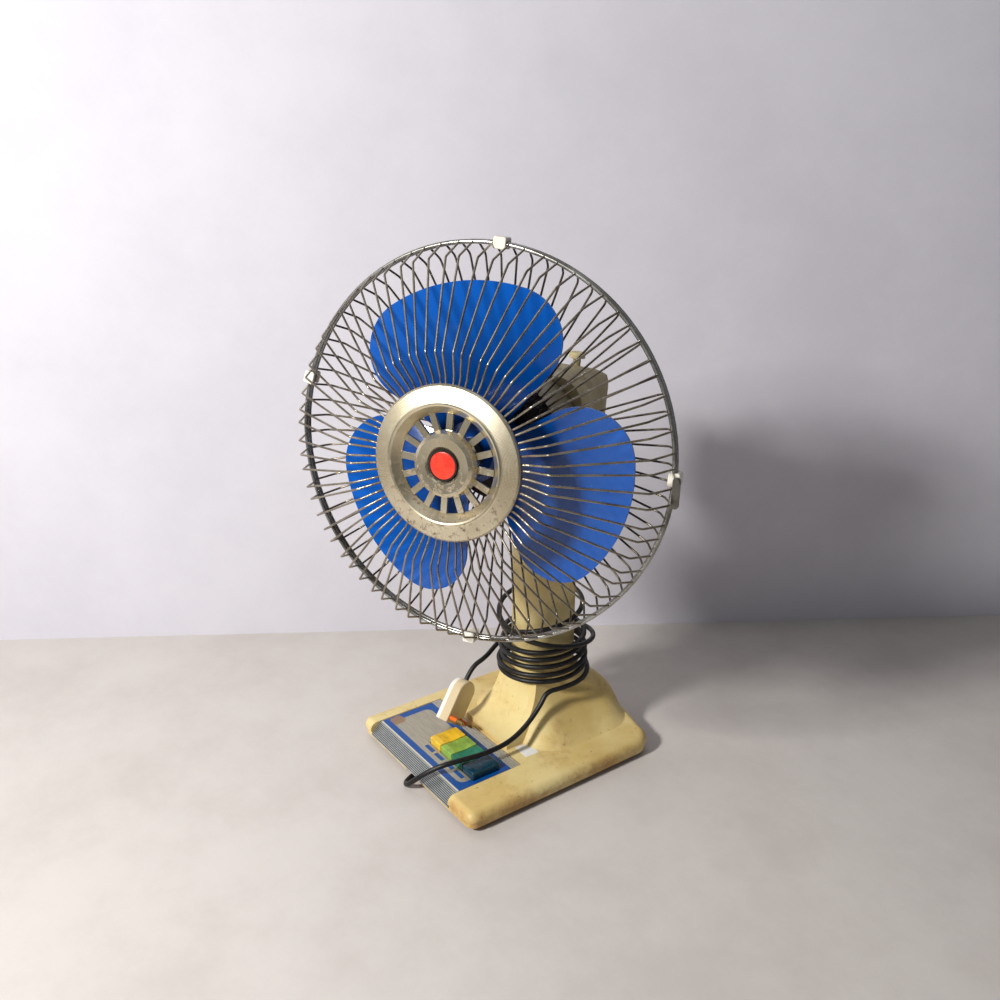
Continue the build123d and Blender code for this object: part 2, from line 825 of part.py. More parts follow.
with BuildPart() as one_clip:
    with BuildSketch(Plane.XY.offset(-clip_deep / 2)):
        with Locations((guard_r - 1.5, 0)):
            RectangleRounded(clip_high, clip_wide, 2)
    extrude(amount=clip_deep)
    with BuildSketch(Plane.XY.offset(-clip_cheek)):
        with Locations((guard_r + seat_gap - clip_high, 0)):
            Rectangle(2 * clip_high, 2 * clip_wide)
    extrude(amount=2 * clip_cheek, mode=Mode.SUBTRACT)
    fillet(one_clip.faces().sort_by(Axis.X)[-1].edges(), 1)

with BuildPart() as guard_clips:
    for place in ring_places((*clip_angles, latch_angle)):
        add(one_clip.part.moved(place))
save(guard_clips, "guard_clips")

latch_r = guard_r - 1.5 + clip_high / 2 - latch_pin_r - 0.5
latch_back = clip_deep / 2 + moving_gap

with BuildPart() as one_latch:
    with BuildSketch(Plane.XY.offset(latch_back)):
        with Locations((latch_r, -latch_long / 2)):
            SlotCenterToCenter(latch_long, latch_wide, rotation=90)
        with Locations((latch_r, 0)):
            Circle(latch_pin_r + run_gap, mode=Mode.SUBTRACT)
    extrude(amount=latch_thick)

with BuildPart() as guard_latch:
    add(one_latch.part.moved(ring_places([latch_angle])[0]))
save(guard_latch, "guard_latch")

with BuildPart() as one_latch_pin:
    with BuildSketch(Plane.XY.offset(clip_cheek + 0.4)):
        with Locations((latch_r, 0)):
            Circle(latch_pin_r)
    extrude(amount=latch_back + latch_thick + moving_gap - clip_cheek)
    with BuildSketch(Plane.XY.offset(latch_back + latch_thick + moving_gap)):
        with Locations((latch_r, 0)):
            Circle(2 * latch_pin_r)
    extrude(amount=1.2)

with BuildPart() as latch_pin:
    add(one_latch_pin.part.moved(ring_places([latch_angle])[0]))
save(latch_pin, "latch_pin")

# ---- Badge -----------------------------------------------------------------------------
badge_back = flat_d + wire_r
throat_back = centre_plate_d + centre_plate_thick + 0.2

with BuildPart() as badge_ring:
    with BuildSketch(half_plane):
        with BuildLine():
            Polyline(
                (badge_r - badge_sheet, badge_back),
                (badge_r, badge_back),
                (badge_r, badge_back + badge_sheet),
                (badge_r - 1.5, badge_back + badge_sheet + 1.4),
                (badge_bead_r + 1.5, badge_bead_d - 1),
                (badge_bead_r + 0.4, badge_bead_d),
                (badge_bead_r - 1, badge_bead_d - 0.4),
                (badge_throat_r, throat_back + 1.4),
                (badge_throat_r, throat_back),
                (badge_throat_r + badge_sheet, throat_back),
                (badge_bead_r, badge_bead_d - 3.2),
                (badge_bead_r + 1.2, badge_bead_d - 3.2),
                (badge_r - badge_sheet, badge_back + 1.4),
                close=True,
            )
        make_face()
    revolve(axis=fan_axis)
save(badge_ring, "badge_ring")

spoke_long = badge_throat_r + weld - hub_cup_r + 1

with BuildPart() as badge_spider:
    with BuildSketch(fan(throat_back)):
        with PolarLocations(hub_cup_r - 1 + spoke_long / 2, spoke_count):
            Rectangle(spoke_long, spoke_wide)
    extrude(amount=spoke_thick)
    with BuildSketch(half_plane):
        with BuildLine():
            Polyline(
                (0, throat_back),
                (hub_cup_r, throat_back),
                (hub_cup_r, throat_back + spoke_thick + 1),
                (hub_cup_r - 2, hub_cup_front - 2),
                (hub_cup_r - 5, hub_cup_front),
                (bezel_r + 3, hub_cup_front - 0.4),
                (bezel_r, hub_cup_front - 3.5),
                (0, hub_cup_front - 3.5),
                close=True,
            )
        make_face()
    revolve(axis=fan_axis)
save(badge_spider, "badge_spider")

with BuildPart() as badge_bezel:
    with BuildSketch(fan(hub_cup_front - 3.5)):
        Circle(bezel_r)
        Circle(disc_r, mode=Mode.SUBTRACT)
    extrude(amount=2.6)
save(badge_bezel, "badge_bezel")

with BuildPart() as badge_disc:
    with BuildSketch(fan(hub_cup_front - 3.5)):
        Circle(disc_r)
    extrude(amount=disc_front - hub_cup_front + 3.5)
    fillet(badge_disc.faces().sort_by(fan_axis)[-1].edges(), 1)
save(badge_disc, "badge_disc")

# ---- Blades ----------------------------------------------------------------------------
half_span = blade_span / 2

with BuildPart() as blade_sheet:
    for turn in (-60, -40, -20, 0, 20, 40, 60):
        radial = Vector(1, 0, 0).rotate(Axis.Z, turn)
        away = Vector(0, 1, 0).rotate(Axis.Z, turn)
        height = blade_mid + blade_pitch * math.radians(turn)
        with BuildSketch(Plane(origin=(0, 0, height), x_dir=radial, z_dir=-away)):
            with Locations((blade_r * 0.6, 0)):
                Rectangle(blade_r, blade_thick)
    loft()

with BuildPart() as one_blade:
    with BuildSketch(Plane.XY.offset(-2 * blade_pitch)):
        with BuildLine():
            root_x = (hub_r - 4) * math.cos(math.radians(half_span))
            root_y = (hub_r - 4) * math.sin(math.radians(half_span))
            tip_x = blade_r * math.cos(math.radians(half_span))
            tip_y = blade_r * math.sin(math.radians(half_span))
            Line((root_x, -root_y), (tip_x, -tip_y))
            ThreePointArc((tip_x, -tip_y), (blade_r, 0), (tip_x, tip_y))
            Line((tip_x, tip_y), (root_x, root_y))
            Line((root_x, root_y), (root_x, -root_y))
        petal = make_face()
        fillet(petal.vertices().group_by(Axis.X)[1], blade_round)
    extrude(amount=4 * blade_pitch)
    add(blade_sheet.part, mode=Mode.INTERSECT)

with BuildPart() as impeller:
    with BuildSketch(half_plane):
        with BuildLine():
            Polyline(
                (shaft_r, hub_front),
                (hub_r - 5, hub_front),
                (hub_r, hub_front - 5),
                (hub_r, hub_back),
                (hub_r - hub_wall, hub_back),
                (hub_r - hub_wall, hub_front - 2 * hub_wall),
                (2 * shaft_r, hub_front - 3 * hub_wall),
                (2 * shaft_r, hub_back + 6),
                (shaft_r, hub_back + 6),
                close=True,
            )
        make_face()
    revolve(axis=fan_axis)
    for place in ring_places([blade_first + i * 360 / blade_count for i in range(blade_count)]):
        add(one_blade.part.moved(place))
save(impeller, "impeller")

with BuildPart() as blade_nut:
    with BuildSketch(half_plane):
        with BuildLine():
            Polyline(
                (0, shaft_front),
                (shaft_r, shaft_front),
                (shaft_r, hub_front),
                (nut_r, hub_front),
                (nut_r, hub_front + 4),
                (nut_r - 4, nut_front - 1),
                (nut_r - 8, nut_front),
                (0, nut_front),
                close=True,
            )
        make_face()
    revolve(axis=fan_axis)
save(blade_nut, "blade_nut")

# ---- Motor -----------------------------------------------------------------------------
cover_in = motor_r - motor_wall

with BuildPart() as motor_front_cover:
    with BuildSketch(half_plane):
        with BuildLine():
            Polyline(
                (bush_r, boss_front),
                (boss_out, boss_front),
                (boss_out, rear_plate_d - rear_plate_thick),
                (rear_plate_out - 20, rear_plate_d - rear_plate_thick),
                (rear_plate_out - 20, motor_front + 4),
                (motor_r - 4, motor_front),
                (motor_r, motor_front - 5),
                (motor_r, motor_back),
                (cover_in, motor_back),
                (cover_in, motor_front - 6),
                (cover_in - 3, motor_front - motor_wall),
                (bush_r + 4, motor_front - motor_wall),
                (bush_r + 4, boss_back),
                (bush_r, boss_back),
                close=True,
            )
        make_face()
    revolve(axis=fan_axis)
save(motor_front_cover, "motor_front_cover")

with BuildPart() as guard_nut:
    with BuildSketch(fan(rear_plate_d)):
        Circle(guard_nut_r)
        Circle(boss_out, mode=Mode.SUBTRACT)
    extrude(amount=guard_nut_thick)
    with BuildSketch(fan(rear_plate_d)):
        with PolarLocations(guard_nut_r, 12):
            Circle(2)
    extrude(amount=guard_nut_thick, mode=Mode.SUBTRACT)
save(guard_nut, "guard_nut")

with BuildPart() as shaft_bushes:
    for bush_front, bush_back in (
        (boss_front, boss_back),
        (motor_back, motor_back - frame_thick - 4),
    ):
        with BuildSketch(fan(bush_front)):
            Circle(bush_r)
            Circle(shaft_r + run_gap, mode=Mode.SUBTRACT)
        extrude(amount=bush_back - bush_front)
save(shaft_bushes, "shaft_bushes")

with BuildPart() as stator_core:
    with BuildSketch(fan(stator_front)):
        Circle(cover_in)
        Circle(rotor_r + rotor_gap, mode=Mode.SUBTRACT)
    extrude(amount=stator_back - stator_front)
save(stator_core, "stator_core")

with BuildPart() as stator_windings:
    for coil_d in (stator_front + winding_long / 2, stator_back - winding_long / 2):
        with BuildSketch(half_plane):
            with Locations(((rotor_r + rotor_gap + cover_in) / 2 + 0.6, coil_d)):
                RectangleRounded(cover_in - rotor_r - rotor_gap - 5, winding_long, winding_long * 0.35)
        revolve(axis=fan_axis)
save(stator_windings, "stator_windings")

with BuildPart() as rotor_core:
    with BuildSketch(fan(stator_front)):
        Circle(rotor_r)
        Circle(shaft_r, mode=Mode.SUBTRACT)
    extrude(amount=stator_back - stator_front)
save(rotor_core, "rotor_core")

with BuildPart() as motor_shaft:
    with BuildSketch(fan(shaft_front)):
        Circle(shaft_r)
    extrude(amount=worm_front - shaft_front)
    with BuildSketch(fan(worm_front)):
        Circle(shaft_r - 1)
    extrude(amount=shaft_back - worm_front)
save(motor_shaft, "motor_shaft")

with BuildPart() as worm:
    with BuildSketch(half_plane):
        with BuildLine():
            thread_count = int((worm_front - worm_back) / worm_pitch)
            ridges = []
            for i in range(thread_count):
                start_d = worm_back + i * worm_pitch
                ridges += [
                    (worm_core_r, start_d + 0.2 * worm_pitch),
                    (worm_r, start_d + 0.4 * worm_pitch),
                    (worm_r, start_d + 0.6 * worm_pitch),
                    (worm_core_r, start_d + 0.8 * worm_pitch),
                ]
            Polyline(
                (shaft_r - 1, worm_back),
                (worm_core_r, worm_back),
                *ridges,
                (worm_core_r, worm_front),
                (shaft_r - 1, worm_front),
                close=True,
            )
        make_face()
    revolve(axis=fan_axis)
save(worm, "worm")

# ---- Gearbox ---------------------------------------------------------------------------
flange_back = motor_back - frame_thick
gearbox_mid = (gearbox_left + gearbox_right) / 2
gearbox_wide = gearbox_right - gearbox_left
gearbox_deep = gearbox_front - gearbox_back
wheel_x = worm_r + wheel_r + gear_clear
pitch_gap = math.hypot(wheel_x - crank_x, wheel_d - crank_d)
crank_gear_r = pitch_gap - pinion_r - gear_clear
post_places = [(-shell_screw_x, shell_screw_h), (shell_screw_x, shell_screw_h)]

with BuildPart() as gear_housing:
    with BuildSketch(fan(motor_back)):
        Circle(frame_r)
    extrude(amount=-frame_thick)
    with BuildSketch(fan(flange_back, 0, (gear_floor - gearbox_wall + gear_roof) / 2)):
        Rectangle(2 * arm_half, gear_roof - gear_floor + gearbox_wall)
    extrude(amount=gearbox_front - flange_back)
    with BuildSketch(shelf(gear_floor - gearbox_wall, gearbox_mid, (gearbox_front + gearbox_back) / 2)):
        RectangleRounded(gearbox_wide, gearbox_deep, 4)
    extrude(amount=gear_roof - gear_floor + gearbox_wall)
    with BuildSketch(shelf(gear_floor, 0, -reach)):
        Circle(pivot_boss_r)
    extrude(amount=pivot_boss_bottom - gear_floor)
    with BuildSketch(shelf(gear_floor, crank_x, crank_d)):
        Circle(axle_boss_r)
    extrude(amount=axle_boss_bottom - gear_floor)
    with BuildSketch(fan(gearbox_back + 2)):
        with Locations(*post_places):
            Circle(2.4 * shell_screw_r)
    extrude(amount=shell_seat + post_gap - gearbox_back - 2)
    with BuildSketch(shelf(gear_floor, gearbox_mid, (gearbox_front + gearbox_back) / 2)):
        RectangleRounded(gearbox_wide - 2 * gearbox_wall, gearbox_deep - 2 * gearbox_wall, 2)
    extrude(amount=gear_roof - gear_floor, mode=Mode.SUBTRACT)
    with BuildSketch(fan(motor_back)):
        Circle(bush_r)
    extrude(amount=-frame_thick - 4, mode=Mode.SUBTRACT)
    with BuildSketch(fan(motor_back)):
        Circle(shaft_r + 1)
    extrude(amount=gearbox_front - gearbox_wall - motor_back, mode=Mode.SUBTRACT)
    with BuildSketch(shelf(pivot_boss_bottom, 0, -reach)):
        Circle(swing_pin_r + run_gap)
    extrude(amount=swing_pin_top - axis_rise - pivot_boss_bottom + 1, mode=Mode.SUBTRACT)
    with BuildSketch(shelf(axle_boss_bottom, crank_x, crank_d)):
        Circle(axle_r + run_gap)
    extrude(amount=gear_floor - axle_boss_bottom, mode=Mode.SUBTRACT)
    with BuildSketch(shelf(gear_floor, wheel_x, wheel_d)):
        Circle(axle_r + run_gap)
    extrude(amount=-gearbox_wall / 2, mode=Mode.SUBTRACT)
    with BuildSketch(fan(shell_seat)):
        with Locations(*post_places):
            Circle(shell_screw_r)
    extrude(amount=shell_screw_long, mode=Mode.SUBTRACT)
save(gear_housing, "gear_housing")

with BuildPart() as gear_lid:
    with BuildSketch(shelf(gear_roof, gearbox_mid, (gearbox_front + gearbox_back) / 2)):
        RectangleRounded(gearbox_wide, gearbox_deep, 4)
    extrude(amount=lid_thick)
    with BuildSketch(shelf(gear_roof, knob_x, knob_d)):
        Circle(knob_stem_r + run_gap)
    extrude(amount=lid_thick, mode=Mode.SUBTRACT)
save(gear_lid, "gear_lid")


def gear_teeth(outer, count):
    """Outline of a gear with straight-sided teeth."""
    points = []
    for i in range(count):
        for share, radius in ((0.0, outer - tooth), (0.3, outer - tooth), (0.45, outer), (0.85, outer)):
            angle = 2 * math.pi * (i + share) / count
            points.append((radius * math.cos(angle), radius * math.sin(angle)))
    return points


with BuildPart() as worm_wheel:
    with BuildSketch(shelf(-wheel_thick / 2, wheel_x, wheel_d)):
        Polygon(*gear_teeth(wheel_r, wheel_teeth), align=None)
        Circle(axle_r, mode=Mode.SUBTRACT)
    extrude(amount=wheel_thick)
save(worm_wheel, "worm_wheel")

with BuildPart() as pinion_axle:
    with BuildSketch(shelf(gear_floor - gearbox_wall / 2 + run_gap, wheel_x, wheel_d)):
        Circle(axle_r)
    extrude(amount=wheel_thick / 2 + 2 - gear_floor + gearbox_wall / 2)
    with BuildSketch(shelf(gear_bottom, wheel_x, wheel_d)):
        Polygon(*gear_teeth(pinion_r, pinion_teeth), align=None)
    extrude(amount=gear_thick)
save(pinion_axle, "pinion_axle")

with BuildPart() as crank_gear:
    with BuildSketch(shelf(gear_bottom, crank_x, crank_d)):
        Polygon(*gear_teeth(crank_gear_r, crank_teeth), align=None)
        Circle(axle_r, mode=Mode.SUBTRACT)
    extrude(amount=gear_thick)
save(crank_gear, "crank_gear")

crank_disc_top = axle_boss_bottom - 2 * moving_gap
crank_point = seam_point + side * crank_x + forward * crank_d
stud_back = up.cross(Vector(1, 0, 0)) * link_stud_back
stud_point = head_point + Vector(link_stud_x, 0, 0) + stud_back
to_stud = stud_point - crank_point
stud_across = to_stud.dot(side)
stud_ahead = to_stud.dot(forward)
stud_away = math.hypot(stud_across, stud_ahead)
link_cosine = (crank_throw**2 + stud_away**2 - link_length**2) / (2 * crank_throw * stud_away)
pin_turn = math.atan2(stud_ahead, stud_across) + math.acos(link_cosine)
pin_x = crank_x + crank_throw * math.cos(pin_turn)
pin_d = crank_d + crank_throw * math.sin(pin_turn)

with BuildPart() as crank_disc:
    with BuildSketch(shelf(crank_disc_top, crank_x, crank_d)):
        Circle(crank_disc_r)
    extrude(amount=-crank_disc_thick)
    with BuildSketch(shelf(crank_disc_top, crank_x, crank_d)):
        Circle(axle_r)
    extrude(amount=gear_bottom + gear_thick - crank_disc_top)
    with BuildSketch(shelf(crank_disc_top - crank_disc_thick, pin_x, pin_d)):
        Circle(crank_pin_r)
    extrude(amount=-crank_pin_long)
save(crank_disc, "crank_disc")

eye_point = seam_point + side * pin_x + forward * pin_d
eye_way = eye_point - stud_point
eye_x = eye_way.dot(Vector(1, 0, 0))
eye_back = eye_way.dot(up.cross(Vector(1, 0, 0)))
link_turn = math.degrees(math.atan2(eye_back, eye_x))

with BuildPart() as link_rod:
    stud_plane = tipped(link_top, link_stud_x, link_stud_back)
    with BuildSketch(stud_plane):
        with Locations(Location((eye_x / 2, eye_back / 2, 0), (0, 0, link_turn))):
            Rectangle(link_length, 2 * link_half)
        with Locations((0, 0), (eye_x, eye_back)):
            Circle(link_eye_r)
        Circle(link_stud_r + run_gap, mode=Mode.SUBTRACT)
        with Locations((eye_x, eye_back)):
            Circle(crank_pin_r + run_gap, mode=Mode.SUBTRACT)
    extrude(amount=-link_thick)
save(link_rod, "link_rod")

# ---- Rear cover ------------------------------------------------------------------------


def shell_form(inset):
    """Rounded-square housing whose back is rounded off both ways."""
    half = shell_half - inset
    back = shell_back + inset
    curve = shell_curve - inset
    with BuildPart() as shell:
        with BuildSketch(fan(shell_front - inset)):
            RectangleRounded(2 * half, 2 * half, shell_round - inset)
        extrude(amount=back - shell_front + inset)
        for spare in (
            Plane(origin=fan(0, -shell_half).origin, x_dir=forward, z_dir=side),
            Plane(origin=fan(0, 0, -shell_half).origin, x_dir=forward, z_dir=up),
        ):
            with BuildSketch(spare):
                with BuildLine():
                    Line((shell_front, -half), (back + curve, -half))
                    RadiusArc((back + curve, -half), (back, -half + curve), curve)
                    Line((back, -half + curve), (back, half - curve))
                    RadiusArc((back, half - curve), (back + curve, half), curve)
                    Line((back + curve, half), (shell_front, half))
                    Line((shell_front, half), (shell_front, -half))
                make_face()
            extrude(amount=2 * shell_half, mode=Mode.INTERSECT)
    return shell.part


with BuildPart() as rear_cover:
    add(shell_form(0.0))
    add(shell_form(shell_wall), mode=Mode.SUBTRACT)
    with BuildSketch(fan(shell_front)):
        Circle(motor_r + seat_gap)
    extrude(amount=-shell_wall, mode=Mode.SUBTRACT)
    with BuildSketch(shelf(0, slot_x, slot_d)):
        RectangleRounded(slot_wide, slot_deep, 6)
    extrude(amount=-shell_half, mode=Mode.SUBTRACT)
    with BuildSketch(fan(shell_back + shell_wall)):
        with GridLocations(vent_pitch, 1, vent_count, 1):
            SlotOverall(vent_high, vent_wide, rotation=90)
    extrude(amount=-shell_wall, mode=Mode.SUBTRACT)
    with BuildSketch(fan(shell_seat)):
        with Locations(*post_places):
            Circle(shell_head_r + seat_gap)
    extrude(amount=-shell_wall, mode=Mode.SUBTRACT)
    with BuildSketch(fan(shell_seat)):
        with Locations(*post_places):
            Circle(shell_screw_r + seat_gap)
    extrude(amount=2 * shell_wall, mode=Mode.SUBTRACT)
    with BuildSketch(shelf(0, knob_x, knob_d)):
        Circle(knob_neck_r + moving_gap)
    extrude(amount=shell_half, mode=Mode.SUBTRACT)
save(rear_cover, "rear_cover")

with BuildPart() as shell_screws:
    with BuildSketch(fan(shell_seat)):
        with Locations(*post_places):
            Circle(shell_screw_r)
    extrude(amount=shell_screw_long - 1)
    with BuildSketch(fan(shell_seat)):
        with Locations(*post_places):
            Circle(shell_head_r)
    extrude(amount=-shell_head_high)
save(shell_screws, "shell_screws")

with BuildPart() as swing_knob:
    with BuildSketch(shelf(knob_seat, knob_x, knob_d)):
        Circle(knob_neck_r)
    extrude(amount=knob_rise)
    with BuildSketch(shelf(knob_seat + knob_rise, knob_x, knob_d)):
        Circle(knob_r)
    extrude(amount=knob_thick)
    fillet(swing_knob.faces().sort_by(Axis(head_point, up))[-1].edges(), 2.4)
    with BuildSketch(shelf(gear_roof - 2, knob_x, knob_d)):
        Circle(knob_stem_r)
    extrude(amount=knob_seat - gear_roof + 2)
save(swing_knob, "swing_knob")

# ---- Plug ------------------------------------------------------------------------------
plug_mid = Vector(neck_x, neck_y, 0) + plug_place
plug_face = Plane(origin=plug_mid, x_dir=plug_across, z_dir=plug_ahead)
plug_top = plug_long - plug_half
plug_half_thick = (plug_body_thick + plug_cover_thick) / 2


def plug_outline():
    """Straight sides and heel with a round top; the sketch's Y runs from cord to heel."""
    with BuildSketch() as outline:
        with Locations((0, (plug_heel - plug_top) / 2)):
            Rectangle(2 * plug_half, plug_heel + plug_top)
        with Locations((0, -plug_top)):
            Circle(plug_half)
    return outline.sketch


with BuildPart() as plug_body:
    with BuildSketch(plug_face):
        add(plug_outline())
    extrude(amount=-plug_body_thick)
    fillet(plug_body.faces().sort_by(Axis(plug_mid, plug_ahead))[-1].edges(), 1.5)
    with BuildSketch(plug_face):
        with Locations((-pin_pitch / 2, 0), (pin_pitch / 2, 0)):
            Circle(plug_pin_r)
    extrude(amount=-plug_body_thick + 3, mode=Mode.SUBTRACT)
save(plug_body, "plug_body")

with BuildPart() as plug_cover:
    with BuildSketch(plug_face.offset(-plug_body_thick)):
        add(plug_outline())
    extrude(amount=-plug_cover_thick)
    fillet(plug_cover.faces().sort_by(Axis(plug_mid, plug_ahead))[0].edges(), 2.5)
save(plug_cover, "plug_cover")

with BuildPart() as plug_pins:
    with BuildSketch(plug_face.offset(3 - plug_body_thick)):
        with Locations((-pin_pitch / 2, 0), (pin_pitch / 2, 0)):
            Circle(plug_pin_r)
    extrude(amount=plug_body_thick - 3 + plug_pin_long)
    fillet(plug_pins.faces().group_by(Axis(plug_mid, plug_ahead))[-1].edges(), 1)
save(plug_pins, "plug_pins")

with BuildPart() as plug_sleeves:
    with BuildSketch(plug_face):
        with Locations((-pin_pitch / 2, 0), (pin_pitch / 2, 0)):
            Circle(plug_pin_r + sleeve_thick)
            Circle(plug_pin_r, mode=Mode.SUBTRACT)
    extrude(amount=sleeve_long)
save(plug_sleeves, "plug_sleeves")

# ---- Cord ------------------------------------------------------------------------------
neck_foot = Vector(neck_x, neck_y, 0)


def corner_radii(points):
    """Bend at each corner of a route, as large as its shorter run allows."""
    radii = []
    for before, corner, after in zip(points, points[1:], points[2:]):
        run_in = Vector(*corner) - Vector(*before)
        run_out = Vector(*after) - Vector(*corner)
        turn = math.radians(run_in.get_angle(run_out))
        radii.append(0.45 * min(run_in.length, run_out.length) / math.tan(turn / 2))
    return radii


def cord_run(points):
    """Cord along a route of points from the neck's foot."""
    placed = [neck_foot + Vector(*point) for point in points]
    radii = corner_radii(points)
    print("bends", [round(radius, 1) for radius in radii])
    with BuildPart() as run:
        with BuildLine() as route:
            FilletPolyline(*placed, radius=radii)
        with BuildSketch(Plane(origin=route.line @ 0, z_dir=route.line % 0)):
            Circle(cord_d / 2)
        sweep()
    return run


def loop_points():
    """Winding from the plug's side: two loose turns up and over, then the stack down."""
    rows = [(loop_start - 90 * i, radius, height) for i, (radius, height) in enumerate(loose_turns)]
    first = len(rows)
    stack_top = loop_start - 90 * first
    quarters = math.ceil((stack_top - loop_end) / 90 + stack_turns * 4)
    step = (stack_top - loop_end + 360 * stack_turns) / quarters
    for i in range(quarters + 1):
        share = i / quarters
        angle = stack_top - step * i
        radius = loop_r_top + (loop_r_low - loop_r_top) * share + loop_wander * math.sin(0.9 * i)
        lean = loop_tilt * math.cos(math.radians(angle - 45)) * min(1, 4 * (1 - share))
        rows.append((angle, radius, loop_low + loop_rise * (quarters - i) + lean))
    return [
        neck_foot + Vector(r * math.cos(math.radians(a)), r * math.sin(math.radians(a)), z) for a, r, z in rows
    ]


def biarc(start, start_way, end, end_way):
    """Two arcs between two points with their directions given; returns the joint and its direction."""
    gap = end - start
    ways = start_way + end_way
    spread = 2 * (1 - start_way.dot(end_way))
    across_gap = gap.dot(ways)
    reach_out = (math.sqrt(across_gap**2 + spread * gap.dot(gap)) - across_gap) / spread
    near = start + start_way * reach_out
    far = end - end_way * reach_out
    return (near + far) / 2, (far - near).normalized()


points = loop_points()
ways = [(after - before).normalized() for before, after in zip(points, points[2:])]
last_way = Vector(math.sin(math.radians(loop_end)), -math.cos(math.radians(loop_end)), -0.03).normalized()
ways = [Vector(*loop_first_way).normalized(), *ways, last_way]

with BuildPart() as cord_winding:
    with BuildLine() as winding_line:
        Line(points[0] - ways[0] * cord_d, points[0])
        for start, start_way, end, end_way in zip(points, ways, points[1:], ways[1:]):
            joint, joint_way = biarc(start, start_way, end, end_way)
            TangentArc(start, joint, tangent=start_way)
            TangentArc(joint, end, tangent=joint_way)
        Line(points[-1], points[-1] + ways[-1] * cord_d)
    with BuildSketch(Plane(origin=points[0] - ways[0] * cord_d, z_dir=ways[0])):
        Circle(cord_d / 2)
    sweep()
save(cord_winding, "cord_winding")

winding_wire = winding_line.wires()[0]
sample_count = 1500
samples = [tuple(winding_wire @ (i / sample_count)) for i in range(sample_count + 1)]
skip = math.ceil(4 * cord_d / winding_wire.length * sample_count)
least = min(math.dist(a, b) for i, a in enumerate(samples) for b in samples[i + skip :])
print("winding length", round(winding_wire.length), "least gap to itself", round(least - cord_d, 2))

winding_start = points[0] - ways[0] * cord_d - neck_foot
winding_end = points[-1] + ways[-1] * cord_d - neck_foot
plug_exit = plug_mid - plug_face.y_dir * plug_long - plug_ahead * plug_half_thick - neck_foot

plug_route = [
    tuple(plug_exit),
    tuple(plug_exit - plug_face.y_dir * plug_lead),
    tuple(winding_start - ways[0] * plug_lead),
    tuple(winding_start),
]
base_route = [
    tuple(winding_end),
    tuple(winding_end + ways[-1] * 12),
    *base_stretch,
    (cord_anchor.X, cord_anchor.Y, cord_anchor.Z),
]
cord_to_plug = cord_run(plug_route)
save(cord_to_plug, "cord_to_plug")
cord_over_base = cord_run(base_route)
save(cord_over_base, "cord_over_base")

with BuildPart() as cord_grommet:
    with BuildSketch(Plane(origin=neck_foot + cord_anchor, z_dir=(0, 1, 0))):
        Circle(cord_d / 2 + 0.6)
    with BuildSketch(Plane(origin=neck_foot + cord_anchor + Vector(0, grommet_long, 0), z_dir=(0, 1, 0))):
        Circle(cord_anchor.Z)
    loft()
    with BuildSketch(level(tray_floor, cord_anchor.X, cord_anchor.Y + grommet_long)):
        Rectangle(16, 10, align=(Align.CENTER, Align.MIN))
    extrude(amount=1 - tray_floor)
save(cord_grommet, "cord_grommet")
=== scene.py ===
"""Looks of an oscillating desk fan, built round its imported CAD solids. Metres, +Z up."""
import math

import bmesh
import bpy
from mathutils import Matrix, Vector


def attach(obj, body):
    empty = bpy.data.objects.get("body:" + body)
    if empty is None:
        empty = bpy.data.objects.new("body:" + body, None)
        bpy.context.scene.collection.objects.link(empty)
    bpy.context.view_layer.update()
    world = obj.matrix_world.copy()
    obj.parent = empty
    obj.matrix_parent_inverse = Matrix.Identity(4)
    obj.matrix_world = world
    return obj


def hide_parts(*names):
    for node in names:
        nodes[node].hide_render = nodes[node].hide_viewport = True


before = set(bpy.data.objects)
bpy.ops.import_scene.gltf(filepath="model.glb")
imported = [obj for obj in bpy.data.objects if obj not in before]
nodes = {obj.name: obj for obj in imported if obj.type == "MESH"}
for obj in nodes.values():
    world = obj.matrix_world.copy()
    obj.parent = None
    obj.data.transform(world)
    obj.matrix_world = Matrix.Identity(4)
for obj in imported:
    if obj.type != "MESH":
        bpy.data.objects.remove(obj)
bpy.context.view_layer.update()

MM = 0.001
NECK = Vector((-0.071864, 0.084838, 0.0))      # foot of the neck's axis
TILT = math.radians(5.5)
TURN_SIN, TURN_COS = 0.5, 0.8660254            # the head's turn to one side, 30 degrees
PIVOT_HIGH, SHAFT_ABOVE, SEAM_AHEAD = 0.300, 0.077, 0.182
FORWARD = Vector((TURN_SIN, -TURN_COS * math.cos(TILT), math.sin(TILT) * TURN_COS))
HEAD_UP = Vector((0.0, math.sin(TILT), math.cos(TILT)))
FORWARD = (FORWARD - HEAD_UP * FORWARD.dot(HEAD_UP)).normalized()
SIDE = HEAD_UP.cross(FORWARD).normalized()
SEAM = NECK + Vector((0, 0, PIVOT_HIGH)) + HEAD_UP * SHAFT_ABOVE + FORWARD * SEAM_AHEAD

# ---- Camera ----------------------------------------------------------------------------
SENSOR_WIDTH, FOCAL_LENGTH = 36.0, 36.55       # millimetres
CAMERA_AT = (0.714135, -0.540908, 0.667387)
CAMERA_RIGHT = Vector((0.58354305, 0.81207632, 0.00309131))
CAMERA_UP = Vector((-0.29233892, 0.20651487, 0.93375027))
CAMERA_AHEAD = Vector((-0.75763808, 0.54578719, -0.35791183))
lens = bpy.data.cameras.new("camera")
lens.sensor_width = SENSOR_WIDTH
lens.lens = FOCAL_LENGTH
camera = bpy.data.objects.new("camera", lens)
camera_axes = Matrix((CAMERA_RIGHT, CAMERA_UP, -CAMERA_AHEAD)).transposed().to_4x4()
camera.matrix_world = Matrix.Translation(CAMERA_AT) @ camera_axes
bpy.context.scene.collection.objects.link(camera)
bpy.context.scene.camera = camera

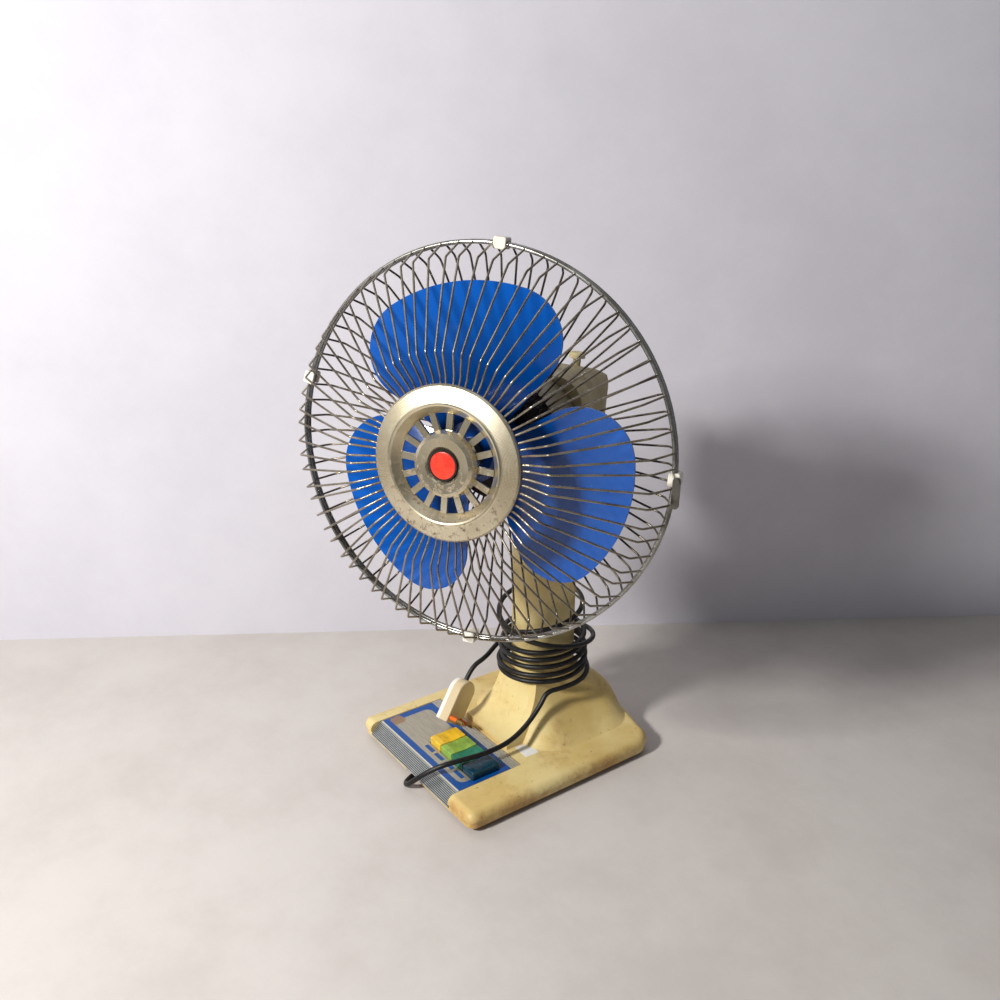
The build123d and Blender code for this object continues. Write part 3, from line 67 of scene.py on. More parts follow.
# ---- Cord ------------------------------------------------------------------------------
CORD_D = 5.5                                   # millimetres, like all of the cord's numbers
COIL_START, COIL_END = 216.0, -14.0            # degrees round the neck
STACK_TURNS = 7
STACK_RADIUS, STACK_SPREAD = 44.0, 5.5         # of the top turn, and what the lowest adds
STACK_FOOT, QUARTER_RISE = 82.0, 2.1           # height of the lowest turn, rise in a quarter
STACK_WAVE, WAVE_STEP = 1.2, 0.9
STACK_LEAN, LEAN_SIDE = 2.5, 45                # how much the turns lean, and to which side
NURBS_SHRINK = 0.9665                          # a turn drawn by 12 points lies inside them
COIL_STEP = 30                                 # degrees between those points
LOOSE = (                                      # radius and height at each quarter turn
    (57.0, 97.0), (57.0, 112.0), (55.5, 127.0), (52.5, 141.0),
    (48.0, 158.0), (44.0, 172.0), (42.5, 163.0), (42.5, 148.0),
)
BASE_STRETCH = (
    (46.0, -38.0, 68.0), (47.5, -60.0, 49.0), (49.5, -86.0, 39.5), (48.5, -121.0, 39.0),
    (41.0, -152.0, 38.5), (30.0, -169.0, 30.0), (18.0, -181.0, 16.0), (8.0, -186.0, 5.5),
    (-1.5, -180.0, 2.9), (-8.0, -163.0, 3.0),
)
CORD_EXIT = Vector((-9.0, -150.0, 4.0))
PLUG_AHEAD = Vector((0.975, 0.222, 0.0)).normalized()
plug_across = Vector((0.17, -0.77, 0.61))
plug_across = (plug_across - PLUG_AHEAD * plug_across.dot(PLUG_AHEAD)).normalized()
plug_up = PLUG_AHEAD.cross(plug_across)
PLUG_ORIGIN = Vector((-24.0, -102.0, 38.0))
EXIT_BELOW, EXIT_BEHIND = 44.0, 8.5            # where the cord enters, from the plug's origin
PLUG_EXIT = PLUG_ORIGIN - plug_up * EXIT_BELOW - PLUG_AHEAD * EXIT_BEHIND
LEAD, RUN_OUT = 16.0, 12                       # straight ends of the winding: top and bottom

stack_top = COIL_START - 90 * len(LOOSE)
quarters = math.ceil((stack_top - COIL_END) / 90 + STACK_TURNS * 4)
stack_step = (stack_top - COIL_END + 360 * STACK_TURNS) / quarters


def stack_row(i):
    """Radius and height of the neat turns, i quarter turns down from their top."""
    share = i / quarters
    angle = stack_top - stack_step * i
    lean = STACK_LEAN * math.cos(math.radians(angle - LEAN_SIDE)) * min(1, 4 * (1 - share))
    radius = STACK_RADIUS + STACK_SPREAD * share + STACK_WAVE * math.sin(WAVE_STEP * i)
    return radius, STACK_FOOT + QUARTER_RISE * (quarters - i) + lean


def coil_point(angle, spread=1 / NURBS_SHRINK):
    """A point of the winding, from the neck's foot, in millimetres."""
    if angle > stack_top:
        rows = (*LOOSE, stack_row(0))
        place = (COIL_START - angle) / 90
        i = min(int(place), len(rows) - 2)
        radius, height = (a + (b - a) * (place - i) for a, b in zip(rows[i], rows[i + 1]))
    else:
        radius, height = stack_row((stack_top - angle) / stack_step)
    turn = math.radians(angle)
    return Vector((radius * spread * math.cos(turn), radius * spread * math.sin(turn), height))


coil_sweep = COIL_START - stack_top + stack_step * quarters
coil_count = math.ceil(coil_sweep / COIL_STEP)
coil = [coil_point(COIL_START - coil_sweep * i / coil_count) for i in range(coil_count + 1)]
coil[0] = coil_point(COIL_START, 1.0)
coil[-1] = coil_point(COIL_START - coil_sweep, 1.0)
first_way = Vector((-0.40, 0.89, 0.20)).normalized()
last_way = Vector((math.sin(math.radians(COIL_END)), -math.cos(math.radians(COIL_END)), -0.03))
last_way.normalize()
route = [
    CORD_EXIT,
    *(Vector(p) for p in reversed(BASE_STRETCH)),
    coil[-1] + last_way * (CORD_D + RUN_OUT),
    *reversed(coil),
    coil[0] - first_way * (CORD_D + LEAD),
    PLUG_EXIT - plug_up * LEAD,
    PLUG_EXIT,
]


def cord_curve(name, points, diameter):
    """A smooth round cord along its route's points."""
    data = bpy.data.curves.new(name, "CURVE")
    data.dimensions = "3D"
    data.bevel_depth = 1.0                     # each point's radius gives the thickness
    data.bevel_resolution = 4
    data.resolution_u = 6
    data.use_fill_caps = True
    spline = data.splines.new("NURBS")
    spline.points.add(len(points) - 1)
    for point, place in zip(spline.points, points):
        point.co = (*place, 1.0)
        point.radius = diameter / 2
    spline.order_u = 3
    spline.use_endpoint_u = True
    piece = bpy.data.objects.new(name, data)
    bpy.context.scene.collection.objects.link(piece)
    return piece


cord = cord_curve("mains_cord", [NECK + p * MM for p in route], CORD_D * MM)
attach(cord, "base")
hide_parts("cord_to_plug", "cord_winding", "cord_over_base")


# ---- Materials -------------------------------------------------------------------------
def tone(red, green, blue):
    """A colour as it looks, 0 to 255, as the shader takes it."""
    return tuple(
        c / 12.92 if c <= 0.04045 else ((c + 0.055) / 1.055) ** 2.4
        for c in (red / 255, green / 255, blue / 255)
    ) + (1.0,)


class Paint:
    """One procedural material, built node by node."""

    def __init__(self, name, **settings):
        self.material = bpy.data.materials.new(name)
        self.material.use_nodes = True
        self.tree = self.material.node_tree
        self.main = self.tree.nodes["Principled BSDF"]
        self.where = self.add("ShaderNodeTexCoord").outputs["Object"]
        for socket, value in settings.items():
            self.main.inputs[socket.replace("_", " ")].default_value = value

    def add(self, kind, **settings):
        node = self.tree.nodes.new(kind)
        for key, value in settings.items():
            setattr(node, key, value)
        return node

    def put(self, socket, value):
        if isinstance(value, bpy.types.NodeSocket):
            self.tree.links.new(value, socket)
        else:
            socket.default_value = value

    def math(self, operation, a, b=0.0, c=0.0, clamp=False):
        node = self.add("ShaderNodeMath", operation=operation, use_clamp=clamp)
        for socket, value in zip(node.inputs, (a, b, c)):
            self.put(socket, value)
        return node.outputs[0]

    def vector(self, operation, a, b=(0, 0, 0)):
        node = self.add("ShaderNodeVectorMath", operation=operation)
        self.put(node.inputs[0], a)
        self.put(node.inputs[1], b)
        return node.outputs["Value" if operation == "DOT_PRODUCT" else "Vector"]

    def parts(self, vector=None):
        node = self.add("ShaderNodeSeparateXYZ")
        self.put(node.inputs[0], self.where if vector is None else vector)
        return node.outputs

    def noise(self, scale, detail=4.0, roughness=0.6, where=None):
        node = self.add("ShaderNodeTexNoise")
        self.put(node.inputs["Vector"], self.where if where is None else where)
        self.put(node.inputs["Scale"], scale)
        self.put(node.inputs["Detail"], detail)
        self.put(node.inputs["Roughness"], roughness)
        return node.outputs["Fac"]

    def span(self, value, low, high, start=0.0, end=1.0):
        """From start to end, smoothly, while the value goes from low to high."""
        node = self.add("ShaderNodeMapRange", clamp=True, interpolation_type="SMOOTHSTEP")
        for socket, number in zip(node.inputs, (value, low, high, start, end)):
            self.put(socket, number)
        return node.outputs[0]

    def mix(self, share, a, b):
        node = self.add("ShaderNodeMix", data_type="RGBA")
        self.put(node.inputs["Factor"], share)
        self.put(node.inputs["A"], a)
        self.put(node.inputs["B"], b)
        return node.outputs["Result"]

    def crevice(self, distance):
        """How much of the surroundings is closed in, from 0 to 1."""
        node = self.add("ShaderNodeAmbientOcclusion", samples=6)
        self.put(node.inputs["Distance"], distance)
        return self.math("SUBTRACT", 1.0, node.outputs["AO"])

    def shaft_polar(self):
        """Distance from the fan's shaft, in metres, and angle round it."""
        spot = self.vector("SUBTRACT", self.where, tuple(SEAM))
        across = self.vector("DOT_PRODUCT", spot, tuple(SIDE))
        above = self.vector("DOT_PRODUCT", spot, tuple(HEAD_UP))
        squares = self.math("ADD", self.math("POWER", across, 2.0), self.math("POWER", above, 2.0))
        return self.math("SQRT", squares), self.math("ARCTAN2", above, across)

    def colour(self, value):
        self.put(self.main.inputs["Base Color"], value)

    def rough(self, value):
        self.put(self.main.inputs["Roughness"], value)

    def metal(self, value):
        self.put(self.main.inputs["Metallic"], value)

    def bump(self, height, strength=0.3, distance=0.0003):
        node = self.add("ShaderNodeBump")
        self.put(node.inputs["Height"], height)
        self.put(node.inputs["Strength"], strength)
        self.put(node.inputs["Distance"], distance)
        self.put(self.main.inputs["Normal"], node.outputs[0])

    def on(self, *names):
        for name in names:
            piece = nodes[name] if name in nodes else bpy.data.objects[name]
            piece.data.materials.clear()
            piece.data.materials.append(self.material)


SPECK, PIT, RUST = (95, 68, 40), (72, 50, 32), (86, 58, 36)
RIM_TOP, RIM_FOOT = 0.024, 0.017               # the grime low on the part fades in between


def old_plastic(name, light, dark, stain_and_shade, stain_and_shade_amount=0.5, shine=0.38):
    """Moulded plastic that has yellowed unevenly, with grime and painted shade darkening its
    corners, and small scuffs.
    """
    paint = Paint(name, Specular_IOR_Level=0.4)
    cloudy = paint.span(paint.noise(9.0, 5.0), 0.38, 0.66)
    patches = paint.span(paint.noise(26.0, 8.0, 0.72), 0.52, 0.70)
    _, _, tall = paint.parts()
    low_down = paint.span(tall, RIM_TOP, RIM_FOOT)
    rim = paint.math("MULTIPLY", low_down, paint.span(paint.noise(34.0, 7.0, 0.7), 0.4, 0.66))
    specks = paint.span(paint.noise(210.0, 3.0, 0.5), 0.66, 0.74)
    # Painted shade: ambient occlusion darkens corners and gaps towards the stain colour, as grime
    # and shade at once.
    crevice_grime_and_shade = paint.span(paint.crevice(0.012), 0.12, 0.75)
    body = paint.mix(cloudy, tone(*light), tone(*dark))
    body = paint.mix(paint.math("MULTIPLY", patches, 0.42 * stain_and_shade_amount), body, tone(*stain_and_shade))
    body = paint.mix(paint.math("MULTIPLY", rim, 0.8 * stain_and_shade_amount), body, tone(*stain_and_shade))
    body = paint.mix(paint.math("MULTIPLY", crevice_grime_and_shade, 0.75 * stain_and_shade_amount), body, tone(*stain_and_shade))
    body = paint.mix(paint.math("MULTIPLY", specks, 0.55 * stain_and_shade_amount), body, tone(*SPECK))
    paint.colour(body)
    paint.rough(paint.span(paint.noise(60.0, 4.0), 0.3, 0.7, shine, shine + 0.22))
    paint.bump(paint.noise(900.0, 2.0, 0.5), 0.12, 0.0002)
    return paint


def worn_metal(name, bright, dull, shine=0.28, spots=0.35):
    """Plated or bare metal with uneven tarnish and small dark spots."""
    paint = Paint(name)
    tarnish = paint.span(paint.noise(38.0, 6.0, 0.68), 0.36, 0.66)
    pits = paint.span(paint.noise(320.0, 3.0), 0.62, 0.72)
    body = paint.mix(tarnish, tone(*bright), tone(*dull))
    body = paint.mix(paint.math("MULTIPLY", pits, spots), body, tone(*PIT))
    paint.colour(body)
    paint.metal(paint.math("SUBTRACT", 1.0, paint.math("MULTIPLY", pits, 0.6), clamp=True))
    paint.rough(paint.span(tarnish, 0.0, 1.0, shine, shine + 0.25))
    paint.bump(paint.noise(700.0, 3.0), 0.15, 0.0002)
    return paint


old_plastic("ivory_plastic", (232, 212, 150), (214, 186, 116), (164, 110, 54), 0.75).on(
    "base_cover", "base_tray", "neck_column"
)
old_plastic("motor_shell", (190, 178, 132), (158, 144, 100), (92, 74, 44), 0.9, 0.42).on(
    "rear_cover"
)
old_plastic("knob_plastic", (225, 212, 168), (204, 188, 140), (110, 86, 52), 0.8).on("swing_knob")
old_plastic("grey_casting", (128, 126, 118), (104, 101, 94), (66, 56, 44), 0.8, 0.5).on(
    "tilt_bracket", "gear_housing", "gear_lid"
)
# Painted shade: the motor's front cover gets a darker copy of the shell colour, partly its own
# enamel and partly the shade it sits in.
old_plastic("dark_enamel", (150, 142, 112), (118, 110, 84), (70, 56, 38), 0.9, 0.35).on(
    "motor_front_cover"
)
old_plastic("white_clip", (238, 234, 222), (222, 214, 194), (150, 126, 92), 0.6).on("guard_clips")
old_plastic("white_cap", (240, 236, 226), (230, 222, 206), (170, 140, 100), 0.35).on(
    "plug_cover", "terminal_block"
)
old_plastic("beige_cap", (214, 194, 156), (198, 176, 136), (130, 98, 62), 0.5).on("plug_body")
old_plastic("orange_sleeve", (242, 112, 28), (226, 92, 20), (130, 60, 24), 0.4).on("plug_sleeves")
old_plastic("black_plastic", (34, 34, 35), (24, 24, 25), (70, 62, 52), 0.35, 0.3).on(
    "badge_bezel", "guard_nut", "blade_nut", "capacitor", "switch_body", "tilt_knob"
)
old_plastic("brown_rubber", (70, 52, 40), (52, 40, 32), (36, 28, 22), 0.6, 0.6).on("rubber_feet")
old_plastic("black_rubber", (30, 30, 31), (22, 22, 23), (58, 54, 48), 0.35, 0.5).on("cord_grommet")
worn_metal("steel", (176, 176, 172), (142, 140, 134)).on(
    "bottom_screws", "tilt_pin", "bracket_pins", "shell_screws", "stator_core", "motor_shaft",
    "rotor_core", "worm", "crank_disc", "link_rod", "pinion_axle",
)
worn_metal("guard_hardware", (120, 118, 112), (84, 80, 72), 0.34, 0.6).on(
    "latch_pin", "guard_latch"
)
worn_metal("bronze_bush", (186, 146, 84), (146, 108, 62)).on("shaft_bushes")
worn_metal("copper_wire", (196, 112, 70), (150, 78, 46)).on("stator_windings")
worn_metal("plug_brass", (196, 168, 104), (120, 100, 66), 0.26, 0.6).on("plug_pins")
worn_metal("cast_iron", (92, 90, 88), (66, 62, 60), 0.5, 0.5).on("ballast_weight")
old_plastic("nylon_gear", (226, 222, 206), (208, 202, 182), (120, 100, 74), 0.5).on(
    "worm_wheel", "crank_gear"
)

flex = Paint("cord_rubber", Specular_IOR_Level=0.45)
chalky = flex.span(flex.noise(55.0, 6.0), 0.45, 0.75)
flex.colour(flex.mix(chalky, tone(10, 10, 11), tone(30, 29, 28)))
flex.rough(flex.span(flex.noise(90.0, 4.0), 0.3, 0.7, 0.34, 0.55))
flex.bump(flex.noise(600.0, 3.0), 0.2, 0.0002)
flex.on("mains_cord")


BADGE_EDGE = 0.056                             # the rust is strongest from here inwards


def guard_paint(name, bright, dull, rust_reach, rust):
    """Old plated wire: brighter outside, brown and pitted towards the badge."""
    paint = Paint(name)
    radius, _ = paint.shaft_polar()
    near = paint.span(radius, BADGE_EDGE, rust_reach, 1.0, 0.0)
    blotch = paint.span(paint.noise(150.0, 6.0, 0.7), 0.4, 0.62)
    flecks = paint.span(paint.noise(420.0, 3.0), 0.58, 0.68)
    brown = paint.math("MULTIPLY", blotch, paint.math("MULTIPLY_ADD", near, 0.75, rust), clamp=True)
    brown = paint.math("MAXIMUM", brown, paint.math("MULTIPLY", flecks, 0.35))
    body = paint.mix(paint.span(paint.noise(30.0), 0.35, 0.7), tone(*bright), tone(*dull))
    paint.colour(paint.mix(brown, body, tone(*RUST)))
    paint.metal(paint.math("MULTIPLY_ADD", brown, -0.8, 1.0, clamp=True))
    paint.rough(paint.span(brown, 0.0, 0.8, 0.27, 0.7))
    paint.bump(paint.noise(1200.0, 2.0), 0.25, 0.0001)
    return paint


guard_paint("front_wire", (168, 160, 142), (116, 108, 92), 0.112, 0.16).on(
    "front_guard_wires", "centre_plate"
)
guard_paint("rear_wire", (128, 122, 108), (84, 78, 66), 0.120, 0.30).on(
    "rear_guard_wires", "rear_plate"
)
guard_paint("guard_ring", (176, 176, 170), (124, 122, 114), 0.06, 0.08).on(
    "front_ring", "rear_ring"
)

# Blades: glossy blue plastic, lighter towards the tips, with a thin uneven dust.
blade = Paint("blade_blue", Specular_IOR_Level=0.45, Coat_Weight=0.12, Coat_Roughness=0.12)
reach, _ = blade.shaft_polar()
dust = blade.span(blade.noise(16.0, 8.0, 0.7), 0.48, 0.8)
deep = blade.mix(blade.span(reach, 0.03, 0.15), tone(0, 54, 122), tone(0, 84, 176))
blade.colour(blade.mix(blade.math("MULTIPLY", dust, 0.12), deep, tone(84, 132, 178)))
blade.rough(blade.span(dust, 0.0, 1.0, 0.16, 0.36))
blade.bump(blade.noise(45.0, 2.0), 0.06, 0.0006)
blade.on("impeller")

# Badge: champagne plating, knurled outer ring with painted shade in its valleys, brown flecks low
# on ring and spokes.
KNURL_RAYS, KNURL_PITCH = 300.0, 0.0011
KNURL_INNER, KNURL_OUTER = (0.0525, 0.0530), (0.0650, 0.0655)
for badge_name, knurled in (("badge_knurl", 1.0), ("badge_plain", 0.0)):
    plate = Paint(badge_name)
    radius, angle = plate.shaft_polar()
    rays = plate.math("SINE", plate.math("MULTIPLY", angle, KNURL_RAYS))
    rings = plate.math("SINE", plate.math("MULTIPLY", radius, 2 * math.pi / KNURL_PITCH))
    outside = plate.span(radius, *KNURL_INNER)
    field = plate.math("MULTIPLY", outside, plate.span(radius, *KNURL_OUTER, 1, 0))
    weave = plate.math("MULTIPLY", plate.math("ADD", rays, rings), 0.5)
    knurl = plate.math("MULTIPLY", weave, field)
    low = plate.span(plate.math("SINE", angle), -0.9, 0.5, 1.0, 0.0)
    dirt = plate.span(plate.noise(170.0, 7.0, 0.75), 0.52, 0.64)
    dirt = plate.math("MULTIPLY", dirt, plate.math("MULTIPLY_ADD", low, 0.8, 0.12), clamp=True)
    cloudy = plate.span(plate.noise(22.0, 5.0), 0.35, 0.7)
    sheen = plate.mix(cloudy, tone(226, 216, 190), tone(196, 184, 154))
    # Painted shade: the knurl's valleys are darkened in colour, on top of its bump.
    knurl_valley_shade = plate.span(knurl, -1.0, 1.0, 0.34 * knurled, 0.0)
    sheen = plate.mix(knurl_valley_shade, sheen, tone(120, 108, 84))
    plate.colour(plate.mix(dirt, sheen, tone(92, 62, 36)))
    plate.metal(plate.math("MULTIPLY_ADD", dirt, -0.8, 0.92, clamp=True))
    plate.rough(plate.span(dirt, 0.0, 0.8, 0.30 if knurled else 0.22, 0.72))
    plate.bump(knurl, 0.3 * knurled + 0.05, 0.00025)
    plate.on("badge_ring" if knurled else "badge_spider")

disc = Paint("badge_red", Specular_IOR_Level=0.5, Coat_Weight=0.3, Coat_Roughness=0.15)
faded = disc.span(disc.noise(120.0), 0.4, 0.7)
disc.colour(disc.mix(faded, tone(232, 62, 40), tone(206, 46, 30)))
disc.rough(disc.span(disc.noise(200.0), 0.3, 0.7, 0.25, 0.4))
disc.bump(disc.noise(800.0), 0.08, 0.0001)
disc.on("badge_disc")

# Keys: four colours of one glossy plastic, dulled where fingers press, with painted shade in the
# gaps.
RUBBED = 0.82                                  # share of the colour that rubbing leaves
for key, shade in (
    ("key_off", (246, 200, 52)),
    ("key_low", (146, 184, 74)),
    ("key_mid", (24, 124, 92)),
    ("key_high", (8, 58, 76)),
):
    paint = Paint("plastic_" + key, Specular_IOR_Level=0.5)
    rub = paint.span(paint.noise(70.0, 6.0), 0.4, 0.7)
    darker = tuple(c * RUBBED for c in shade)
    skin = paint.mix(rub, tone(*shade), tone(*darker))
    # Painted shade: ambient occlusion darkens the gaps round each key.
    painted_gap_shade = paint.math("MULTIPLY", paint.crevice(0.004), 0.5)
    paint.colour(paint.mix(painted_gap_shade, skin, tone(40, 34, 24)))
    paint.rough(paint.span(rub, 0.0, 1.0, 0.2, 0.42))
    paint.bump(paint.noise(500.0), 0.06, 0.0002)
    paint.on(key)

# Printed plate: brushed silver field with a blue border, a pale line along the fold,
# and four plain blue marks in front of the keys.
LABEL_X, LABEL_Y = (-88.5, 67.0), (-159.2, -92.8)
BORDER, BORDER_ROUND = 8.5, 8.0
MARKS_X, MARKS_Y = (-12.4, 6.2, 25.2, 44.1), -142.8
MARK_HALF, MARK_ROUND = (7.6, 2.4), 0.6
FOLD_LINE = (1.1, 1.4)                         # from the plate's front edge
WORN_AT, WORN_HALF, WORN_ROUND = (-80.0, -143.5), (9.0, 9.0), 6.0
GRAIN_STRETCH = (0.06, 2.2, 1.0)
SOFT = 0.2                                     # half the blur of a printed edge


def from_neck(paint):
    """The spot on the surface from the neck's foot, in millimetres."""
    return paint.vector("MULTIPLY", paint.vector("SUBTRACT", paint.where, tuple(NECK)), (1000,) * 3)


print_paint = Paint("panel_print")
spot = from_neck(print_paint)
plan_x, plan_y, _ = print_paint.parts(spot)


def rounded_box(paint, x, y, middle, half, rounding):
    """Signed distance from a rounded rectangle, in millimetres."""
    off_x = paint.math("ABSOLUTE", paint.math("SUBTRACT", x, middle[0]))
    out_x = paint.math("SUBTRACT", off_x, half[0] - rounding)
    off_y = paint.math("ABSOLUTE", paint.math("SUBTRACT", y, middle[1]))
    out_y = paint.math("SUBTRACT", off_y, half[1] - rounding)
    far_x = paint.math("POWER", paint.math("MAXIMUM", out_x, 0.0), 2.0)
    far_y = paint.math("POWER", paint.math("MAXIMUM", out_y, 0.0), 2.0)
    corner = paint.math("SQRT", paint.math("ADD", far_x, far_y))
    inner = paint.math("MINIMUM", paint.math("MAXIMUM", out_x, out_y), 0.0)
    return paint.math("SUBTRACT", paint.math("ADD", corner, inner), rounding)


label_mid = tuple(sum(v) / 2 for v in (LABEL_X, LABEL_Y))
label_half = tuple((b - a) / 2 - BORDER for a, b in (LABEL_X, LABEL_Y))
window = rounded_box(print_paint, plan_x, plan_y, label_mid, label_half, BORDER_ROUND)
blue = print_paint.span(window, -SOFT, SOFT)
for mark_x in MARKS_X:
    mark = rounded_box(print_paint, plan_x, plan_y, (mark_x, MARKS_Y), MARK_HALF, MARK_ROUND)
    blue = print_paint.math("MAXIMUM", blue, print_paint.span(mark, -SOFT, SOFT, 1.0, 0.0))
stretched = print_paint.vector("MULTIPLY", spot, GRAIN_STRETCH)
grain = print_paint.noise(1.0, 3.0, 0.6, where=stretched)
brushed = print_paint.span(grain, 0.3, 0.7)
silver = print_paint.mix(brushed, tone(196, 190, 172), tone(166, 160, 142))
ink = print_paint.mix(print_paint.noise(60.0), tone(0, 70, 146), tone(0, 84, 160))
face = print_paint.mix(blue, silver, ink)
edge_line = print_paint.span(plan_y, *(LABEL_Y[0] + line for line in FOLD_LINE), 1.0, 0.0)
face = print_paint.mix(edge_line, face, tone(214, 210, 196))
wear = rounded_box(print_paint, plan_x, plan_y, WORN_AT, WORN_HALF, WORN_ROUND)
ragged = print_paint.math("MULTIPLY", print_paint.noise(160.0, 5.0), 6.0)
wear = print_paint.math("ADD", wear, ragged)
worn = print_paint.span(wear, 0.5, 2.5, 0.8, 0.0)
scratch = print_paint.span(print_paint.noise(260.0, 6.0, 0.8), 0.6, 0.72)
scratch = print_paint.math("MULTIPLY", scratch, 0.5)
face = print_paint.mix(print_paint.math("MAXIMUM", worn, scratch), face, tone(164, 128, 86))
print_paint.colour(face)
print_paint.metal(print_paint.math("MULTIPLY_ADD", blue, -0.55, 0.6, clamp=True))
print_paint.rough(print_paint.span(grain, 0.2, 0.8, 0.3, 0.48))
print_paint.bump(grain, 0.08, 0.0002)
print_paint.on("panel_label")

# Front face: dark grey grooves between silver ribs; silver strip behind the plate.
FOLD, LIP = (-160.0, 22.2), (-172.5, 9.0)      # front face's top and bottom: forward, height
CREST = (0.3, 0.55)                            # a rib's top, by its height over the grooves
front = Paint("fascia_ribs")
_, rib_y, rib_z = front.parts(from_neck(front))
face_long = math.hypot(FOLD[0] - LIP[0], FOLD[1] - LIP[1])
from_fold_y = front.math("SUBTRACT", rib_y, FOLD[0])
lift_y = front.math("MULTIPLY", from_fold_y, (LIP[1] - FOLD[1]) / face_long)
from_fold_z = front.math("SUBTRACT", rib_z, FOLD[1])
lift_z = front.math("MULTIPLY", from_fold_z, (FOLD[0] - LIP[0]) / face_long)
crest = front.span(front.math("ADD", lift_y, lift_z), *CREST)
on_front = front.span(rib_y, FOLD[0] - 0.5, FOLD[0], 1.0, 0.0)
scuffs = front.span(front.noise(110.0, 7.0, 0.75), 0.52, 0.7)
groove = front.mix(scuffs, tone(52, 62, 66), tone(84, 90, 88))
slope_skin = front.mix(crest, groove, tone(176, 180, 178))
strip_skin = front.mix(scuffs, tone(186, 184, 174), tone(140, 134, 120))
front.colour(front.mix(on_front, strip_skin, slope_skin))
bare = front.math("SUBTRACT", 1.0, front.math("MULTIPLY", scuffs, 0.5))
front.metal(front.math("MULTIPLY", bare, 0.6))
front.rough(front.span(scuffs, 0.0, 1.0, 0.32, 0.55))
front.bump(front.noise(500.0), 0.1, 0.0002)
front.on("fascia")


# ---- Blank sticker on the deck ---------------------------------------------------------
STICKER_AT, STICKER_TURN = Vector((51.0, -59.5, 23.0)), -3
STICKER_SIZE, STICKER_THICK, STICKER_ROUND = (0.021, 0.017), 0.00015, 0.0012
CORNER_STEPS = 6


def rounded_tag(name, middle, size, turn, thick, rounding):
    """A thin rounded rectangle lying flat."""
    mesh = bmesh.new()
    outline = []
    for corner, (sx, sy) in enumerate(((1, 1), (-1, 1), (-1, -1), (1, -1))):
        for i in range(CORNER_STEPS + 1):
            a = math.radians(90 * corner + 90 // CORNER_STEPS * i)
            outline.append(Vector((
                sx * (size[0] / 2 - rounding) + rounding * math.cos(a),
                sy * (size[1] / 2 - rounding) + rounding * math.sin(a), 0.0)))
    face = mesh.faces.new([mesh.verts.new(p) for p in outline])
    raised = bmesh.ops.extrude_face_region(mesh, geom=[face])
    upper = [v for v in raised["geom"] if isinstance(v, bmesh.types.BMVert)]
    bmesh.ops.translate(mesh, vec=(0, 0, thick), verts=upper)
    bmesh.ops.recalc_face_normals(mesh, faces=mesh.faces)
    place = Matrix.Translation(middle) @ Matrix.Rotation(turn, 4, "Z")
    bmesh.ops.transform(mesh, matrix=place, verts=mesh.verts)
    data = bpy.data.meshes.new(name)
    mesh.to_mesh(data)
    mesh.free()
    piece = bpy.data.objects.new(name, data)
    bpy.context.scene.collection.objects.link(piece)
    return piece


sticker = rounded_tag(
    "blank_sticker", NECK + STICKER_AT * MM, STICKER_SIZE, math.radians(STICKER_TURN),
    STICKER_THICK, STICKER_ROUND,
)
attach(sticker, "base")
old_plastic("paper_label", (238, 238, 234), (226, 224, 216), (170, 150, 120), 0.45, 0.55).on(
    "blank_sticker"
)

# ---- Floor, wall and lights ------------------------------------------------------------
WALL_A = Vector((-0.65935657, -0.38048191, 0.0))
WALL_B = Vector((0.08290597, 0.79101401, 0.0))
STAGE_SPREAD, FLOOR_DEEP, WALL_HIGH = 4, 7, 4
along = (WALL_B - WALL_A).normalized()
out = Vector((along.y, -along.x, 0.0))         # from the wall towards the camera


def slab(name, corners):
    """One flat face of the stage."""
    data = bpy.data.meshes.new(name)
    data.from_pydata([tuple(c) for c in corners], [], [(0, 1, 2, 3)])
    piece = bpy.data.objects.new(name, data)
    bpy.context.scene.collection.objects.link(piece)
    return piece


wall_left, wall_right = WALL_A - along * STAGE_SPREAD, WALL_B + along * STAGE_SPREAD
wall_up, floor_out = Vector((0, 0, WALL_HIGH)), out * FLOOR_DEEP
slab("floor", (wall_left, wall_left + floor_out, wall_right + floor_out, wall_right))
slab("wall", (wall_left, wall_right, wall_right + wall_up, wall_left + wall_up))
ground = Paint("floor_paint", Specular_IOR_Level=0.3)
trodden = ground.span(ground.noise(5.0, 8.0, 0.7), 0.35, 0.7)
ground.colour(ground.mix(trodden, tone(214, 208, 202), tone(203, 196, 190)))
ground.rough(ground.span(ground.noise(12.0, 5.0), 0.3, 0.7, 0.55, 0.72))
ground.bump(ground.noise(180.0, 4.0), 0.12, 0.0006)
ground.on("floor")
plaster = Paint("wall_paint", Specular_IOR_Level=0.2)
patchy = plaster.span(plaster.noise(3.0, 8.0, 0.7), 0.35, 0.7)
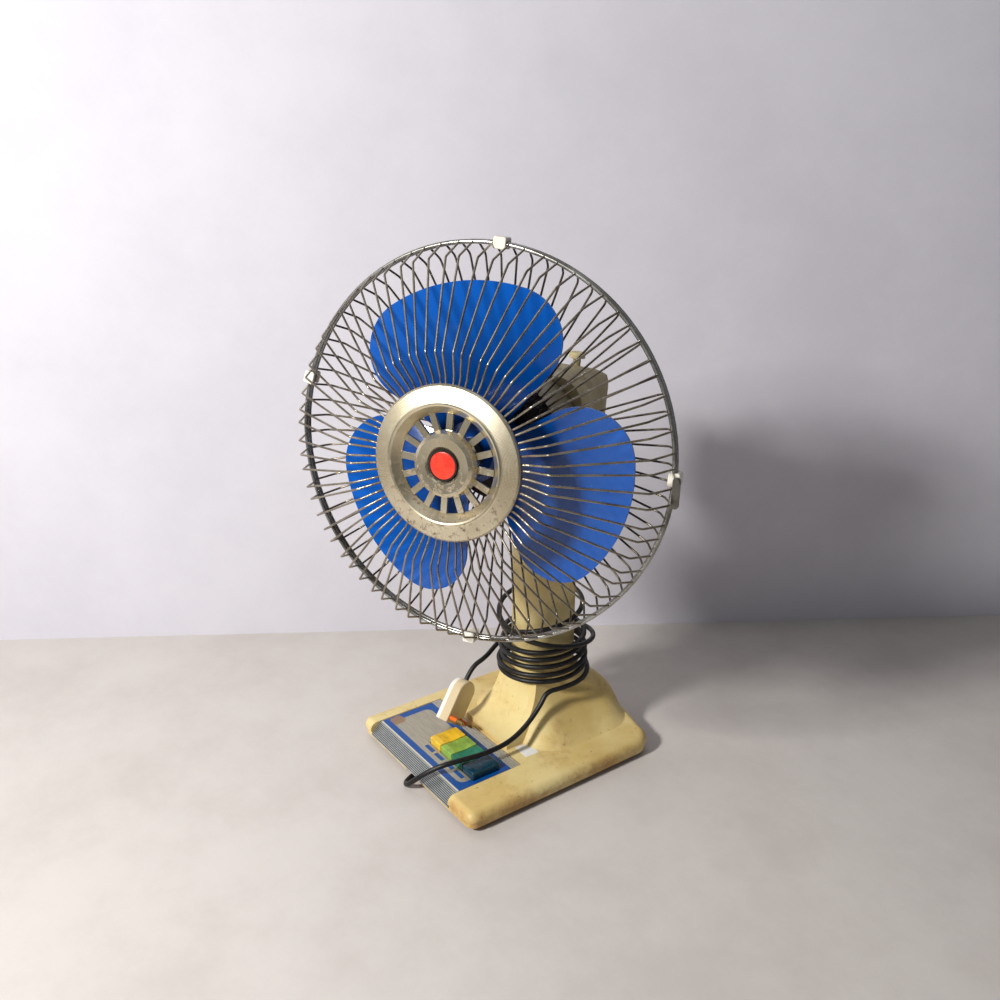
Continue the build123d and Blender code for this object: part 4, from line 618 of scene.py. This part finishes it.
plaster.colour(plaster.mix(patchy, tone(222, 220, 228), tone(213, 211, 220)))
plaster.rough(0.8)
plaster.bump(plaster.noise(90.0, 5.0), 0.12, 0.0008)
plaster.on("wall")
# From behind, the wall lets the view through.
facing = plaster.add("ShaderNodeNewGeometry").outputs["Backfacing"]
through = plaster.add("ShaderNodeMixShader")
plaster.put(through.inputs[0], facing)
plaster.put(through.inputs[1], plaster.main.outputs[0])
plaster.put(through.inputs[2], plaster.add("ShaderNodeBsdfTransparent").outputs[0])
plaster.put(plaster.tree.nodes["Material Output"].inputs["Surface"], through.outputs[0])


def lamp(name, place, aim, size, power, colour):
    """A round lamp that shines from its place at its aim."""
    data = bpy.data.lights.new(name, "AREA")
    data.shape = "DISK"
    data.size = size
    data.energy = power
    data.color = colour
    piece = bpy.data.objects.new(name, data)
    turn = (Vector(aim) - Vector(place)).to_track_quat("-Z", "Y").to_matrix().to_4x4()
    piece.matrix_world = Matrix.Translation(place) @ turn
    bpy.context.scene.collection.objects.link(piece)


LAMP_AIM = Vector((0.0, 0.0, 0.3))
KEY_SIZE, KEY_POWER, KEY_COLOUR = 0.22, 31, (1.0, 0.985, 0.96)
TOP_SIZE, TOP_POWER, TOP_COLOUR = 1.2, 2, (0.95, 0.97, 1.0)
ROOM_COLOUR, ROOM_STRENGTH = (0.86, 0.88, 0.94, 1.0), 0.15
key_at = LAMP_AIM - along * 1.15 + out * 0.85 + Vector((0, 0, 0.8))
top_at = LAMP_AIM + out * 0.9 + Vector((0, 0, 1.9))
lamp("key_lamp", key_at, LAMP_AIM, KEY_SIZE, KEY_POWER, KEY_COLOUR)
lamp("top_lamp", top_at, LAMP_AIM, TOP_SIZE, TOP_POWER, TOP_COLOUR)
world = bpy.data.worlds.new("room")
bpy.context.scene.world = world
world.use_nodes = True
world.node_tree.nodes["Background"].inputs["Color"].default_value = ROOM_COLOUR
world.node_tree.nodes["Background"].inputs["Strength"].default_value = ROOM_STRENGTH

bpy.context.scene.view_settings.view_transform = "Standard"

bpy.context.view_layer.update()
